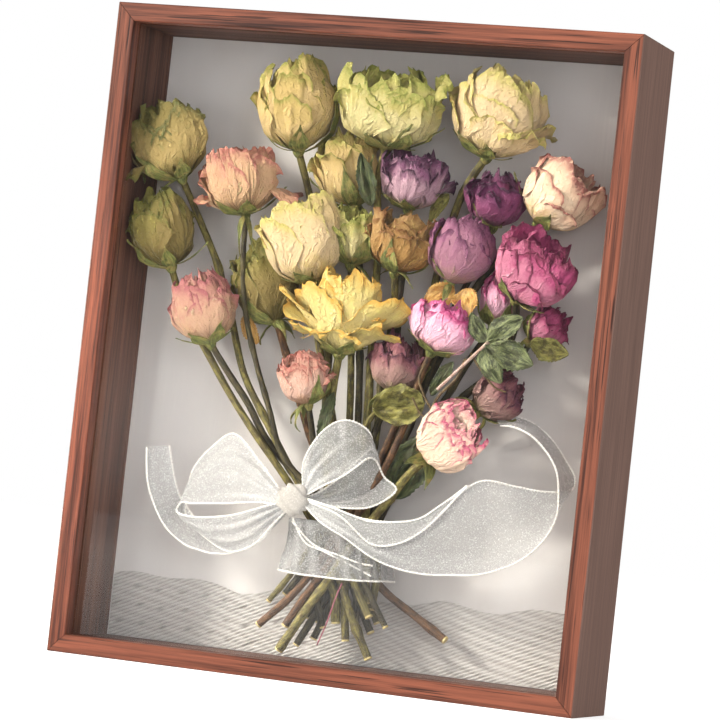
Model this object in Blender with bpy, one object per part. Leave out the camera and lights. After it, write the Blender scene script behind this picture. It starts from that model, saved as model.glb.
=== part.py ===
"""Deep box frame with a bouquet of dried roses tied with a sheer ribbon.

Units are metres. X is the width, -Y is the glass side and +Z is up. The origin is the
middle of the surface that the frame stands on.
"""
import math
import random
from collections import namedtuple

import bmesh
import bpy
import numpy as np
from mathutils import Matrix, Vector

MM = 0.001
GAP = 0.3 * MM
WELD = 0.01 * MM

# Frame rails
WIDTH = 268 * MM
HEIGHT = 320 * MM
DEPTH = 56 * MM
FACE = 9 * MM
LIP = 7.5 * MM
WALL = 5 * MM
ARRIS = 0.5 * MM
FRONT = -DEPTH / 2
BACK = DEPTH / 2

# Layers from the front to the back
GLASS_THICK = 2 * MM
GLASS_FRONT = FRONT + LIP + GAP
GLASS_BACK = GLASS_FRONT + GLASS_THICK
SPACER_FRONT = GLASS_BACK + GAP
SPACER_BACK = 23.7 * MM
GROOVE_AT = 20 * MM
GROOVE_WIDE = 0.8 * MM
GROOVE_DEEP = 0.8 * MM
SATIN_FRONT = SPACER_BACK + GAP
SATIN_THICK = 0.8 * MM
BOARD_FRONT = SATIN_FRONT + SATIN_THICK + GAP
BOARD_THICK = 2 * MM
PANEL_PLAY = 0.5 * MM
CLOTH_THICK = 1.4 * MM
CLOTH_FRONT = SATIN_FRONT - GAP - CLOTH_THICK
CLOTH_EDGE = [(-124, 40), (-90, 42), (-55, 38), (-25, 42),
              (10, 40), (47, 44), (80, 43), (124, 49)]

# Framer's points that hold the board
TAB_LONG = 13 * MM
TAB_WIDE = 8 * MM
TAB_THICK = 0.5 * MM
TAB_IN_WALL = 3.5 * MM
TAB_UP = 90 * MM

# Room for the bouquet
ROOM_SIDE = WIDTH / 2 - FACE - GAP
ROOM_TOP = HEIGHT - FACE - GAP
ROOM_FRONT = GLASS_BACK + 0.6 * MM
ROOM_BACK = CLOTH_FRONT - GAP

# Stems, and the tie that gathers them in layers from the front to the back
STEM_POINTS = 10
STEM_CLEAR = 0.6 * MM
HEADS_END = 150 * MM
BIND_TOP = 96 * MM
BIND_FRONT = -5.5 * MM
BIND_BACK = 17.3 * MM
LAYER_PITCH = 3.8 * MM
NECK_STRAIGHT = 12 * MM
NECK_BEND = 25 * MM
BEND_LEAST = 20 * MM

# How the stems are moved apart: mostly in depth, a little at a time
SPREAD_ROUNDS = 400
SPREAD_PULL = np.array([0.4, 1.0, 0.25])
SPREAD_MOST = 1.2 * MM
DEPTH_BIAS = 0.3
HEAD_PUSH = 0.3
DAMPING = 0.5
LEVELLING = 0.04
HEAD_REACH = 1.25
HEAD_DOME = 0.8
TIE_ABOVE = 15 * MM
TIE_BELOW = 6 * MM
TIE_PLAY = 1 * MM
FRONT_CLEAR = 2 * MM

# Heads
LOBES = 5
HEAD_TWIST = 0.9
HEAD_UNEVEN = 0.05
LOBE_RISE = 0.4
STEM_IN_HEAD = 4 * MM
STEM_NEAR = 3 * MM
STEM_SWELL = 1.05

# Ribbon
RIBBON_THICK = 0.5 * MM
WRAP_LOW = 51 * MM
WRAP_HIGH = 78 * MM

Rose = namedtuple("Rose", "name shape colour neck top width y deep radius layer past route")

# Outlines of the heads: height, radius, lobe size and lobe drop of each ring, as shares of the head
BUD = [(0.0, 0.10, 0, 0), (0.05, 0.34, 0, 0), (0.10, 0.62, 0.45, 0.10), (0.17, 0.72, 0, 0),
       (0.38, 0.96, 0.07, 0), (0.62, 0.95, -0.09, 0), (0.84, 0.66, 0.12, 0),
       (0.97, 0.34, -0.16, 0)]
CUP = [(0.0, 0.10, 0, 0), (0.05, 0.36, 0, 0), (0.10, 0.66, 0.5, 0.12), (0.18, 0.76, 0, 0),
       (0.40, 0.98, 0.06, 0), (0.68, 1.0, -0.08, 0), (0.90, 0.80, 0.10, -0.04),
       (0.98, 0.52, -0.12, 0), (0.88, 0.24, 0, 0)]
FLARED = [(0.0, 0.10, 0, 0), (0.06, 0.34, 0, 0), (0.10, 0.62, 0.45, 0.16), (0.2, 0.66, 0, 0),
          (0.46, 1.35, 0.26, -0.05), (0.56, 0.92, 0.05, 0), (0.80, 0.82, -0.08, 0),
          (0.98, 0.60, 0.10, 0), (0.90, 0.26, 0, 0)]

# Dry leaves, in millimetres: foot and tip (x, y, z), half width and how far the rib stands back
Leaf = namedtuple("Leaf", "foot tip half fold")
LEAVES = {
    "leaf_round_olive": [Leaf((40, -9, 139), (16, -10, 134), 9, 1.5)],
    "leaf_folded_dark": [Leaf((37, 2, 121), (27, 1, 93), 8, 2.5)],
    "leaf_olive_right": [Leaf((86, 0, 173), (104, -1, 169), 4.5, 1)],
    "leaf_centre_top": [Leaf((3, -11, 231), (-4, -12, 254), 4.5, 1)],
    "leaf_top_right": [Leaf((36, 4, 241), (29, 2, 227), 3.5, 1)],
    "leaf_dry_centre": [Leaf((-8, -5, 140), (-12, -5, 113), 3.5, 1)],
    "leaf_curled_bract": [Leaf((42, -8, 143), (51, -9, 158), 3.5, 1.5)],
    "leaf_sprig_right": [Leaf((68, -11, 171), (60, -11, 182), 4, 1),
                         Leaf((68, -11, 170), (84, -12, 183), 5, 1),
                         Leaf((68, -11, 170), (90, -11, 163), 5.5, 1),
                         Leaf((67, -11, 169), (76, -11, 153), 5, 1)],
}
LEAF_SHAPE = [(0.0, 0.10), (0.22, 0.72), (0.5, 1.0), (0.78, 0.7), (1.0, 0.08)]
LEAF_THICK = 0.6 * MM
SPRIG_STALK = [(46, -11, 146), (57, -11, 158), (69, -11, 171)]
STALK_RADIUS = 0.8 * MM

# Ribbon, in millimetres: middle (x, y, z) of the band and half its width (x, y, z) at each station
BANDS = {
    "bow_loop_left": [((-29.5, -14.5, 82.5), (1, 0, 4)), ((-48, -15.5, 76), (2, 0, 14)),
                      ((-72, -15.5, 77), (1, 0, 17)), ((-84, -12.5, 86), (-2, 0, 16)),
                      ((-74, -10, 95), (-4, 0, 16)), ((-50, -9.5, 94), (-4, 0, 13)),
                      ((-30, -11, 88), (-1, 0, 4))],
    "bow_loop_right": [((-13, -15, 94), (4, 0, -2)), ((-7, -16, 106), (11, 0, -5)),
                       ((1, -15.5, 116), (13, 0, -6)), ((12, -13, 119), (13, 0, -7)),
                       ((17, -10.5, 110), (12, 0, -9)), ((8, -9.5, 99), (7, 0, -8)),
                       ((-9, -11.5, 89), (2, 0, -3))],
    "ribbon_tail_left": [((-31, -9, 79), (0, 1, 5)), ((-48, -5, 63), (2, 4, 6)),
                         ((-68, -3, 64), (4, 6, 5)), ((-82, -3, 77), (6, 6, 2)),
                         ((-88, -4, 92), (6, 6, 0)), ((-89, -5, 105), (6, 6, 0))],
    "ribbon_tail_right": [((-11, -14, 80), (1, 0, 5)), ((8, -15, 75), (2, 0, 9)),
                          ((26, -15, 72), (2, 0, 12)), ((47, -14, 74), (0, 0, 15)),
                          ((68, -12, 81), (-3, 1, 18)), ((88, -11, 85), (-3, 1, 19)),
                          ((104, -10, 89), (-3, 0, 16)), ((118, -9, 93), (-4, 0, 12))],
}
KNOT_MIDDLE = (-20, -13.7, 86.5)
KNOT_HALF = (8, 3.6, 8)
WRAP_LEVELS = 5
WRAP_SIDES = 16
WRAP_SQUARE = 3
WRAP_REACH = 5 * MM
WRAP_SWELL = 1.1

PETALS = {
    "olive": (0.60, 0.58, 0.26),
    "cream": (0.86, 0.80, 0.52),
    "peach": (0.86, 0.68, 0.50),
    "pink": (0.80, 0.48, 0.52),
    "magenta": (0.70, 0.22, 0.42),
    "purple": (0.42, 0.16, 0.32),
    "yellow": (0.92, 0.80, 0.36),
    "gold": (0.75, 0.52, 0.24),
}

# Heads and stems, in millimetres: neck and top (x, z), width, y of the middle, depth, stem radius,
# layer at the tie (0 is the front), y past the lower heads, and the stem's route (x, z) to its foot
ROSES = [
    Rose("rose_01", BUD, "olive", (-100, 238), (-116, 277), 38, -5, 27, 1.9, 1, 14,
         [(-94, 222), (-79, 195), (-69, 169), (-61, 147), (-46, 121),
          (-24, 96), (-6, 76), (6, 59), (22, 34)]),
    Rose("rose_02", BUD, "olive", (-102, 194), (-114, 232), 31, -1, 25, 1.9, 1, 10,
         [(-93, 171), (-84, 159), (-70, 143), (-57, 129), (-43, 113),
          (-28, 96), (-12, 77), (5, 47), (23, 14)]),
    Rose("rose_03", CUP, "peach", (-65, 223), (-73, 258), 35, -2, 26, 1.4, 1, -5,
         [(-65, 207), (-62, 190), (-58, 168), (-53, 155), (-46, 141),
          (-33, 108), (-20, 92), (0, 74), (30, 30)]),
    Rose("rose_04", BUD, "cream", (-42, 256), (-48, 303), 37, 0, 28, 1.9, 4, 15,
         [(-39, 245), (-33, 226), (-28, 204), (-19, 156), (-12, 110),
          (-4, 88), (4, 67), (12, 49), (21, 31)]),
    Rose("rose_05", CUP, "olive", (3, 261), (7, 303), 45, 0, 29, 2.0, 2, 16,
         [(0, 250), (-1, 236), (1, 216), (3, 187), (5, 153), (8, 124), (11, 90), (12, 61), (17, 40)]),
    Rose("rose_06", CUP, "cream", (54, 260), (63, 304), 42, 1, 29, 2.0, 5, 15,
         [(47, 251), (42, 240), (38, 226), (33, 208), (30, 184),
          (25, 155), (17, 105), (5, 72), (-8, 38)]),
    Rose("rose_07", BUD, "cream", (-12, 232), (-23, 270), 30, 5, 23, 1.8, 2, 17,
         [(-9, 206), (-4, 172), (1, 138), (5, 104), (8, 70), (11, 46), (13, 29)]),
    Rose("rose_08", CUP, "purple", (17, 232), (21, 263), 30, 2, 23, 1.7, 0, 16,
         [(15, 207), (15, 183), (15, 149), (11, 119), (5, 94), (-2, 74), (-11, 55), (-22, 40)]),
    Rose("rose_09", BUD, "purple", (60, 227), (63, 255), 27, 4, 21, 1.7, 3, 13,
         [(53, 213), (48, 191), (39, 166), (30, 136), (21, 110), (11, 88), (2, 67), (-15, 30)]),
    Rose("rose_10", CUP, "peach", (83, 230), (102, 260), 33, 3, 26, 1.9, 3, 16,
         [(74, 223), (66, 214), (55, 203), (45, 183), (36, 158), (27, 131), (12, 95), (-13, 33)]),
    Rose("rose_11", CUP, "cream", (-26, 192), (-39, 235), 36, -4, 25, 1.9, 4, 14,
         [(-25, 180), (-21, 160), (-15, 136), (-9, 112), (-2, 89), (6, 67), (18, 37)]),
    Rose("rose_12", BUD, "olive", (-9, 203), (-8, 232), 23, 1, 17, 1.8, 2, 13,
         [(-7, 171), (-3, 137), (0, 108), (3, 75), (7, 41), (9, 21)]),
    Rose("rose_13", CUP, "gold", (15, 201), (21, 232), 29, -2, 22, 1.8, 3, 14,
         [(15, 188), (14, 173), (13, 149), (11, 119), (6, 90), (-1, 64), (-11, 28)]),
    Rose("rose_14", BUD, "pink", (43, 198), (53, 231), 31, -1, 24, 1.8, 0, 14,
         [(33, 175), (27, 150), (20, 120), (14, 100), (4, 77), (-5, 58), (-20, 40), (-34, 24)]),
    Rose("rose_15", BUD, "olive", (-47, 172), (-64, 212), 32, 9, 22, 1.9, 4, 12,
         [(-42, 160), (-37, 148), (-32, 136), (-22, 112), (-10, 91),
          (4, 70), (20, 51), (46, 33), (57, 27)]),
    Rose("rose_16", BUD, "pink", (-75, 158), (-86, 193), 31, -5, 24, 1.8, 4, 4,
         [(-71, 152), (-65, 144), (-53, 126), (-43, 114), (-27, 97), (-12, 80), (2, 62), (19, 26)]),
    Rose("rose_17", FLARED, "yellow", (-8, 159), (-6, 201), 38, -4, 25, 2.1, 2, 9,
         [(-10, 144), (-11, 126), (-9, 98), (-4, 69), (0, 49), (3, 29)]),
    Rose("rose_18", CUP, "peach", (-20, 133), (-26, 160), 22, -7, 18, 1.6, 2, 0,
         [(-17, 116), (-15, 92), (-12, 68), (-9, 44), (-3, 26)]),
    Rose("rose_19", BUD, "pink", (39, 164), (49, 190), 31, -5, 22, 1.8, 0, 2,
         [(34, 148), (29, 126), (22, 106), (11, 83), (2, 63), (-7, 47), (-20, 25)]),
    Rose("rose_20", CUP, "magenta", (78, 193), (96, 225), 35, -3, 25, 1.9, 5, 14,
         [(76, 176), (70, 162), (60, 152), (51, 143), (39, 128), (28, 112), (13, 86), (-11, 33)]),
    Rose("rose_21", BUD, "pink", (84, 174), (99, 190), 20, 9, 16, 1.6, 5, 14,
         [(75, 160), (62, 147), (48, 131), (36, 118), (24, 103), (13, 84), (-4, 37)]),
    Rose("rose_22", BUD, "magenta", (65, 180), (67, 207), 17, 6, 15, 1.6, 3, 13,
         [(59, 170), (49, 150), (36, 127), (25, 108), (15, 89), (5, 70), (-17, 16)]),
    Rose("rose_23", BUD, "purple", (20, 143), (23, 171), 25, 0, 20, 1.3, 0, -2,
         [(14, 135), (8, 124), (1, 104), (-7, 76), (-15, 56), (-30, 36)]),
    Rose("rose_24", CUP, "peach", (44, 114), (71, 139), 29, -5, 23, 2.1, 0, -4,
         [(33, 103), (25, 90), (11, 70), (-2, 49), (-22, 13)]),
    Rose("rose_25", BUD, "purple", (63, 138), (82, 156), 23, 4, 18, 1.7, 3, 10,
         [(54, 128), (43, 115), (31, 102), (20, 87), (9, 66), (-9, 20)]),
]


def new_material(name, colour, rough, metal=0.0):
    """A plain Principled material."""
    mat = bpy.data.materials.new(name)
    mat.use_nodes = True
    shader = mat.node_tree.nodes["Principled BSDF"]
    shader.inputs["Base Color"].default_value = (*colour, 1.0)
    shader.inputs["Roughness"].default_value = rough
    shader.inputs["Metallic"].default_value = metal
    return mat


def finish(name, bm, mat, parts):
    """Turns a bmesh into a named object of the part, with its faces pointing out."""
    bmesh.ops.recalc_face_normals(bm, faces=bm.faces[:])
    if bm.calc_volume(signed=True) < 0:
        bmesh.ops.reverse_faces(bm, faces=bm.faces[:])
    mesh = bpy.data.meshes.new(name)
    bm.to_mesh(mesh)
    bm.free()
    obj = bpy.data.objects.new(name, mesh)
    obj.data.materials.append(mat)
    parts.objects.link(obj)
    return obj


def box(low, high):
    """A bmesh box between two corners."""
    bm = bmesh.new()
    size = Vector(high) - Vector(low)
    middle = (Vector(high) + Vector(low)) / 2
    place = Matrix.Translation(middle) @ Matrix.Diagonal((*size, 1.0))
    bmesh.ops.create_cube(bm, size=1.0, matrix=place)
    return bm


def loft(rings, closed=False):
    """Joins rings of points in order, and caps the ends unless the loft is closed."""
    bm = bmesh.new()
    rows = [[bm.verts.new(p) for p in ring] for ring in rings]
    spans = list(zip(rows, rows[1:]))
    if closed:
        spans.append((rows[-1], rows[0]))
    for low, high in spans:
        for i in range(len(low)):
            j = (i + 1) % len(low)
            bm.faces.new((low[i], low[j], high[j], high[i]))
    if not closed:
        bm.faces.new(rows[0][::-1])
        bm.faces.new(rows[-1])
    return bm


def rail_profile():
    """Section of a rail as (distance in from the outside, y)."""
    return [(ARRIS, FRONT), (FACE - ARRIS, FRONT), (FACE, FRONT + ARRIS), (FACE, FRONT + LIP),
            (WALL, FRONT + LIP), (WALL, BACK), (ARRIS, BACK), (0, BACK - ARRIS), (0, FRONT + ARRIS)]


def spacer_profile():
    """Section of an inner wall, with its shadow groove."""
    outer = WALL + GAP
    return [(outer, SPACER_FRONT), (FACE, SPACER_FRONT), (FACE, GROOVE_AT),
            (FACE - GROOVE_DEEP, GROOVE_AT), (FACE - GROOVE_DEEP, GROOVE_AT + GROOVE_WIDE),
            (FACE, GROOVE_AT + GROOVE_WIDE), (FACE, SPACER_BACK), (outer, SPACER_BACK)]


def mitred_bar(name, profile, side, mat, parts):
    """Extrudes a section along one side of the frame and cuts both ends to 45 degrees."""
    upright = side in ("left", "right")
    half_run = (HEIGHT if upright else WIDTH) / 2
    half_across = (WIDTH if upright else HEIGHT) / 2
    bm = bmesh.new()
    face = bm.faces.new([bm.verts.new((-half_run, y, u - half_across)) for u, y in profile])
    moved = bmesh.ops.extrude_face_region(bm, geom=[face])
    verts = [g for g in moved["geom"] if isinstance(g, bmesh.types.BMVert)]
    bmesh.ops.translate(bm, verts=verts, vec=(2 * half_run, 0, 0))
    for sign in (-1, 1):
        corner = Vector((sign * (half_run - GAP / 2), 0, -half_across))
        everything = bm.verts[:] + bm.edges[:] + bm.faces[:]
        ends = bmesh.ops.bisect_plane(bm, geom=everything, plane_co=corner, plane_no=(sign, 0, 1),
                                      clear_outer=True)
        rim = [g for g in ends["geom_cut"] if isinstance(g, bmesh.types.BMEdge)]
        bmesh.ops.holes_fill(bm, edges=rim)
    turn = {"bottom": 0, "left": 90, "top": 180, "right": 270}[side]
    place = Matrix.Translation((0, 0, HEIGHT / 2)) @ Matrix.Rotation(math.radians(turn), 4, "Y")
    bm.transform(place)
    return finish(name, bm, mat, parts)


def tab_places():
    """Middle of each framer's point at the inner wall of its rail, and the way it points."""
    side = WIDTH / 2 - WALL
    top = HEIGHT - WALL
    places = [((sx * side, HEIGHT / 2 + sz * TAB_UP), (-sx, 0)) for sx in (-1, 1) for sz in (-1, 1)]
    return places + [((0, top), (0, -1)), ((0, WALL), (0, 1))]


def tab_box(place, way, spare):
    """A framer's point, or with spare above zero the recess that it sits in."""
    y_low = BOARD_FRONT + BOARD_THICK + GAP
    y_high = BACK + 2 * GAP if spare else y_low + TAB_THICK
    x, z = place
    start = -TAB_IN_WALL - spare
    end = TAB_LONG - TAB_IN_WALL + spare
    half = TAB_WIDE / 2 + spare
    xs = (x + way[0] * start, x + way[0] * end) if way[0] else (x - half, x + half)
    zs = (z + way[1] * start, z + way[1] * end) if way[1] else (z - half, z + half)
    return box((min(xs), y_low - spare, min(zs)), (max(xs), y_high, max(zs)))


def combine(obj, other, operation):
    """Joins a second shape to an object, or takes it out, with a Boolean."""
    other.hide_render = True
    other.display_type = "WIRE"
    mod = obj.modifiers.new(operation.title() + " " + other.name, "BOOLEAN")
    mod.operation = operation
    mod.object = other


def make_frame(parts, cutters):
    """Rails, glass, inner walls, backdrop, board and framer's points."""
    wood = new_material("frame_wood", (0.36, 0.13, 0.07), 0.45)
    inner = new_material("spacer_wood", (0.20, 0.11, 0.08), 0.55)
    rails = {}
    for side in ("top", "bottom", "left", "right"):
        rails[side] = mitred_bar("frame_" + side, rail_profile(), side, wood, parts)
        mitred_bar("spacer_" + side, spacer_profile(), side, inner, parts)
    half = WIDTH / 2 - WALL - PANEL_PLAY
    low, high = WALL + PANEL_PLAY, HEIGHT - WALL - PANEL_PLAY
    glass = new_material("glass", (0.9, 0.95, 0.94), 0.03)
    satin = new_material("satin", (0.80, 0.76, 0.73), 0.4)
    board = new_material("board", (0.35, 0.24, 0.16), 0.8)
    panels = [("glass_pane", GLASS_FRONT, GLASS_THICK, glass),
              ("satin_backdrop", SATIN_FRONT, SATIN_THICK, satin),
              ("back_board", BOARD_FRONT, BOARD_THICK, board)]
    for name, y, thick, mat in panels:
        finish(name, box((-half, y, low), (half, y + thick, high)), mat, parts)
    steel = new_material("tab_metal", (0.6, 0.6, 0.6), 0.35, 1.0)
    names = ["left", "left", "right", "right", "top", "bottom"]
    for number, ((place, way), side) in enumerate(zip(tab_places(), names), 1):
        finish("back_tab_%d" % number, tab_box(place, way, 0), steel, parts)
        recess = finish("recess_%d" % number, tab_box(place, way, GAP), steel, cutters)
        combine(rails[side], recess, "DIFFERENCE")


def make_cloth(parts):
    """The knitted cloth across the foot of the backdrop, with its wavy upper edge."""
    knit = new_material("lace_knit", (0.78, 0.74, 0.70), 0.9)
    edge = [(x * MM, z * MM) for x, z in CLOTH_EDGE]
    foot = FACE + GAP
    outline = [(edge[0][0], foot)] + edge + [(edge[-1][0], foot)]
    rings = [[(x, y, z) for x, z in outline] for y in (CLOTH_FRONT, CLOTH_FRONT + CLOTH_THICK)]
    finish("lace_cloth", loft(rings), knit, parts)


def smooth_route(points, count):
    """Points spaced evenly along a smooth curve through the given points."""
    pts = np.array(points, float)
    ends = np.vstack([2 * pts[0] - pts[1], pts, 2 * pts[-1] - pts[-2]])
    fine = []
    for i in range(len(pts) - 1):
        a, b, c, d = ends[i:i + 4]
        for t in np.linspace(0, 1, 12, endpoint=False):
            fine.append(0.5 * (2 * b + (c - a) * t + (2 * a - 5 * b + 4 * c - d) * t * t
                               + (3 * b - a - 3 * c + d) * t ** 3))
    fine = np.array(fine + [pts[-1]])
    run = np.concatenate([[0], np.cumsum(np.linalg.norm(np.diff(fine, axis=0), axis=1))])
    at = np.linspace(0, run[-1], count)
    return np.stack([np.interp(at, run, fine[:, k]) for k in range(3)], axis=1)


def first_route(rose):
    """A stem's own route with its depth: head, past the lower heads, tie, foot."""
    neck_y = rose.y * MM
    tie_y = BIND_FRONT + rose.layer * LAYER_PITCH
    past_y = rose.past * MM
    neck_z = rose.neck[1] * MM
    bend_z = max(BIND_TOP + BEND_LEAST, min(HEADS_END, neck_z - NECK_BEND))
    heights = [BIND_TOP, bend_z, neck_z - NECK_STRAIGHT, neck_z]
    depths = [tie_y, past_y, past_y, neck_y]
    points = []
    for x, z in [rose.neck] + rose.route:
        points.append((x * MM, float(np.interp(z * MM, heights, depths)), z * MM))
    return smooth_route(points, STEM_POINTS)


def head_frame(rose):
    """Middle, half sizes and axis of a head."""
    neck = np.array([rose.neck[0] * MM, rose.y * MM, rose.neck[1] * MM])
    top = np.array([rose.top[0] * MM, rose.y * MM, rose.top[1] * MM])
    axis = (top - neck) / np.linalg.norm(top - neck)
    half = np.array([rose.width / 2 * MM, rose.deep / 2 * MM, np.linalg.norm(top - neck) / 2])
    return (neck + top) / 2, half, axis


def nearest(p1, d1, p2, d2):
    """Shares along each of two sets of straight runs where they come nearest."""
    r = p1 - p2
    a = (d1 * d1).sum(-1)
    e = (d2 * d2).sum(-1)
    f = (d2 * r).sum(-1)
    c = (d1 * r).sum(-1)
    b = (d1 * d2).sum(-1)
    across = a * e - b * b
    s = np.clip(np.where(across > 1e-16, (b * f - c * e) / np.maximum(across, 1e-16), 0.5), 0, 1)
    t = np.clip((b * s + f) / e, 0, 1)
    s = np.clip((b * t - c) / a, 0, 1)
    return s, t


def spread_stems(routes, roses):
    """Moves the stems' points apart, mostly in depth, until no two stems touch."""
    radii = np.array([rose.radius * MM for rose in roses])
    heads = [head_frame(rose) for rose in roses]
    first, second = np.triu_indices(len(routes), 1)
    for _ in range(SPREAD_ROUNDS):
        starts = routes[:, :-1]
        runs = routes[:, 1:] - starts
        p1 = starts[first][:, :, None]
        d1 = runs[first][:, :, None]
        p2 = starts[second][:, None]
        d2 = runs[second][:, None]
        s, t = nearest(p1, d1, p2, d2)
        apart = (p1 + s[..., None] * d1) - (p2 + t[..., None] * d2)
        dist = np.linalg.norm(apart, axis=-1)
        need = (radii[first] + radii[second])[:, None, None] + STEM_CLEAR
        push = np.maximum(need - dist, 0)
        pair, i, j = np.nonzero(push)
        moves = np.zeros_like(routes)
        way = apart[pair, i, j] / np.maximum(dist[pair, i, j], 1e-6)[:, None]
        way[:, 1] += np.where(way[:, 1] >= 0, DEPTH_BIAS, -DEPTH_BIAS)
        step = way * push[pair, i, j][:, None] / 2 * SPREAD_PULL
        share_1 = s[pair, i, j][:, None]
        share_2 = t[pair, i, j][:, None]
        np.add.at(moves, (first[pair], i), step * (1 - share_1))
        np.add.at(moves, (first[pair], i + 1), step * share_1)
        np.add.at(moves, (second[pair], j), -step * (1 - share_2))
        np.add.at(moves, (second[pair], j + 1), -step * share_2)
        for k, (middle, half, _axis) in enumerate(heads):
            reach = routes - middle
            spot = (reach[..., 0] / half[0]) ** 2 + (reach[..., 2] / half[2]) ** 2
            dome = half[1] * np.sqrt(np.maximum(0, 1 - spot * HEAD_DOME))
            thick = dome + radii[:, None] + 2 * GAP
            inside = (spot < HEAD_REACH) & (np.abs(reach[..., 1]) < thick)
            inside[k] = False
            out = np.where(reach[..., 1] > 0, thick - reach[..., 1], -thick - reach[..., 1])
            moves[..., 1] += np.where(inside, out * HEAD_PUSH, 0)
        moves[:, 0] = 0
        moves[:, 1] *= DAMPING
        moves = np.clip(moves, -SPREAD_MOST, SPREAD_MOST)
        level = (routes[:, :-2, 1] + routes[:, 2:, 1]) / 2 - routes[:, 1:-1, 1]
        moves[:, 1:-1, 1] += level * LEVELLING
        routes = routes + moves
        below = routes[..., 2] < BIND_TOP + TIE_ABOVE
        tied = (routes[..., 2] < BIND_TOP) & (routes[..., 2] > WRAP_LOW - TIE_BELOW)
        low = np.where(below, BIND_FRONT - TIE_PLAY, ROOM_FRONT + FRONT_CLEAR)
        high = np.where(tied, BIND_BACK, ROOM_BACK) - radii[:, None]
        routes[:, 1:, 1] = np.clip(routes[:, 1:, 1], low[:, 1:], high[:, 1:])
    return routes


def dense(route):
    """A route with nine points between each two of its own."""
    steps = np.linspace(0, 1, 10, endpoint=False)[:, None]
    return np.vstack([a + (b - a) * steps for a, b in zip(route, route[1:])] + [route[-1:]])


def head_cell(index, roses, routes):
    """Flat limits (point, outward way) that keep a head clear of its neighbours and the box."""
    middle, half, _axis = head_frame(roses[index])
    limits = [((0, ROOM_FRONT, 0), (0, -1, 0)), ((0, ROOM_BACK, 0), (0, 1, 0)),
              ((ROOM_SIDE, 0, 0), (1, 0, 0)), ((-ROOM_SIDE, 0, 0), (-1, 0, 0)),
              ((0, 0, ROOM_TOP), (0, 0, 1))]
    for k, other in enumerate(roses):
        if k == index:
            continue
        there, half_there, _axis = head_frame(other)
        apart = there - middle
        dist = np.linalg.norm(apart)
        way = apart / dist
        here = 1 / math.sqrt(((way / half) ** 2).sum())
        beyond = 1 / math.sqrt(((way / half_there) ** 2).sum())
        limits.append((middle + way * (dist * here / (here + beyond) - GAP / 2), way))
        line = dense(routes[k])
        flat = np.hypot(line[:, 0] - middle[0], line[:, 2] - middle[2])
        near = line[flat < max(half[0], half[2]) * HEAD_REACH + STEM_NEAR]
        for sign in (-1, 1):
            side = near[(near[:, 1] - middle[1]) * sign > 0]
            if len(side):
                edge = (side[:, 1] * sign).min() - other.radius * MM * STEM_SWELL - GAP
                limits.append((np.array([0, edge * sign, 0]), np.array([0, sign, 0])))
    return limits


def press(spot, middle, limits):
    """Pulls a point towards the middle of its head until it is inside every limit."""
    reach = spot - middle
    share = 1.0
    for point, way in limits:
        way = Vector(way)
        out = reach.dot(way)
        room = (Vector(point) - middle).dot(way)
        if out > room > 0:
            share = min(share, room / out)
    return middle + reach * share


def head_mesh(rose, limits):
    """A rose head with its sepals as one loft, pressed in at its limits."""
    middle, half, axis = head_frame(rose)
    dice = random.Random(rose.name)
    turn = dice.uniform(0, math.tau)
    up = Vector(axis)
    depth_way = Vector((0, 1, 0))
    side_way = depth_way.cross(up)
    rings = []
    for height, radius, lobe, drop in rose.shape:
        ring = []
        for k in range(2 * LOBES):
            angle = turn + math.tau * k / (2 * LOBES) + height * HEAD_TWIST
            uneven = dice.uniform(1 - HEAD_UNEVEN, 1 + HEAD_UNEVEN)
            out = radius * (1 + lobe * (1 if k % 2 else -1)) * uneven
            rise = (height - (drop if k % 2 else -drop * LOBE_RISE)) * 2 - 1
            spot = (Vector(middle) + side_way * (out * half[0] * math.cos(angle))
                    + depth_way * (out * half[1] * math.sin(angle)) + up * (rise * half[2]))
            ring.append(press(spot, Vector(middle), limits))
        rings.append(ring)
    return loft(rings)


def tube(points, radius, parts):
    """A closed round tube along points, made as a bevelled curve and turned into a mesh."""
    curve = bpy.data.curves.new("tube_path", "CURVE")
    curve.dimensions = "3D"
    curve.bevel_depth = radius
    curve.bevel_resolution = 1
    curve.use_fill_caps = True
    spline = curve.splines.new("POLY")
    spline.points.add(len(points) - 1)
    for spot, p in zip(spline.points, points):
        spot.co = (*p, 1.0)
    guide = bpy.data.objects.new("tube_path", curve)
    parts.objects.link(guide)
    graph = bpy.context.evaluated_depsgraph_get()
    mesh = bpy.data.meshes.new_from_object(guide.evaluated_get(graph))
    bpy.data.objects.remove(guide)
    bm = bmesh.new()
    bm.from_mesh(mesh)
    bmesh.ops.remove_doubles(bm, verts=bm.verts[:], dist=WELD)
    bpy.data.meshes.remove(mesh)
    return bm


def leaf_mesh(leaf):
    """A thin leaf, widest in its middle and creased along its rib."""
    foot, tip = (Vector(p) * MM for p in (leaf.foot, leaf.tip))
    along = (tip - foot).normalized()
    side = along.cross(Vector((0, 1, 0))).normalized()
    rings = []
    for share, wide in LEAF_SHAPE:
        rib = foot + (tip - foot) * share
        reach = side * (leaf.half * wide * MM)
        back = Vector((0, leaf.fold * wide * MM, 0))
        thick = Vector((0, LEAF_THICK, 0))
        rings.append([rib - reach, rib + back, rib + reach, rib + reach + thick, rib + back + thick,
                      rib - reach + thick])
    return loft(rings)


def make_leaves(parts, cutters):
    """The dry leaves, and the sprig whose leaflets grow from one stalk."""
    green = new_material("dry_leaf", (0.30, 0.34, 0.16), 0.8)
    for name, leaves in LEAVES.items():
        obj = finish(name, leaf_mesh(leaves[0]), green, parts)
        extras = [leaf_mesh(leaf) for leaf in leaves[1:]]
        if extras:
            stalk = [Vector(p) * MM for p in SPRIG_STALK]
            extras.append(tube(stalk, STALK_RADIUS, parts))
        for number, bm in enumerate(extras):
            extra = finish("%s_%d" % (name, number), bm, green, cutters)
            combine(obj, extra, "UNION")


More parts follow.
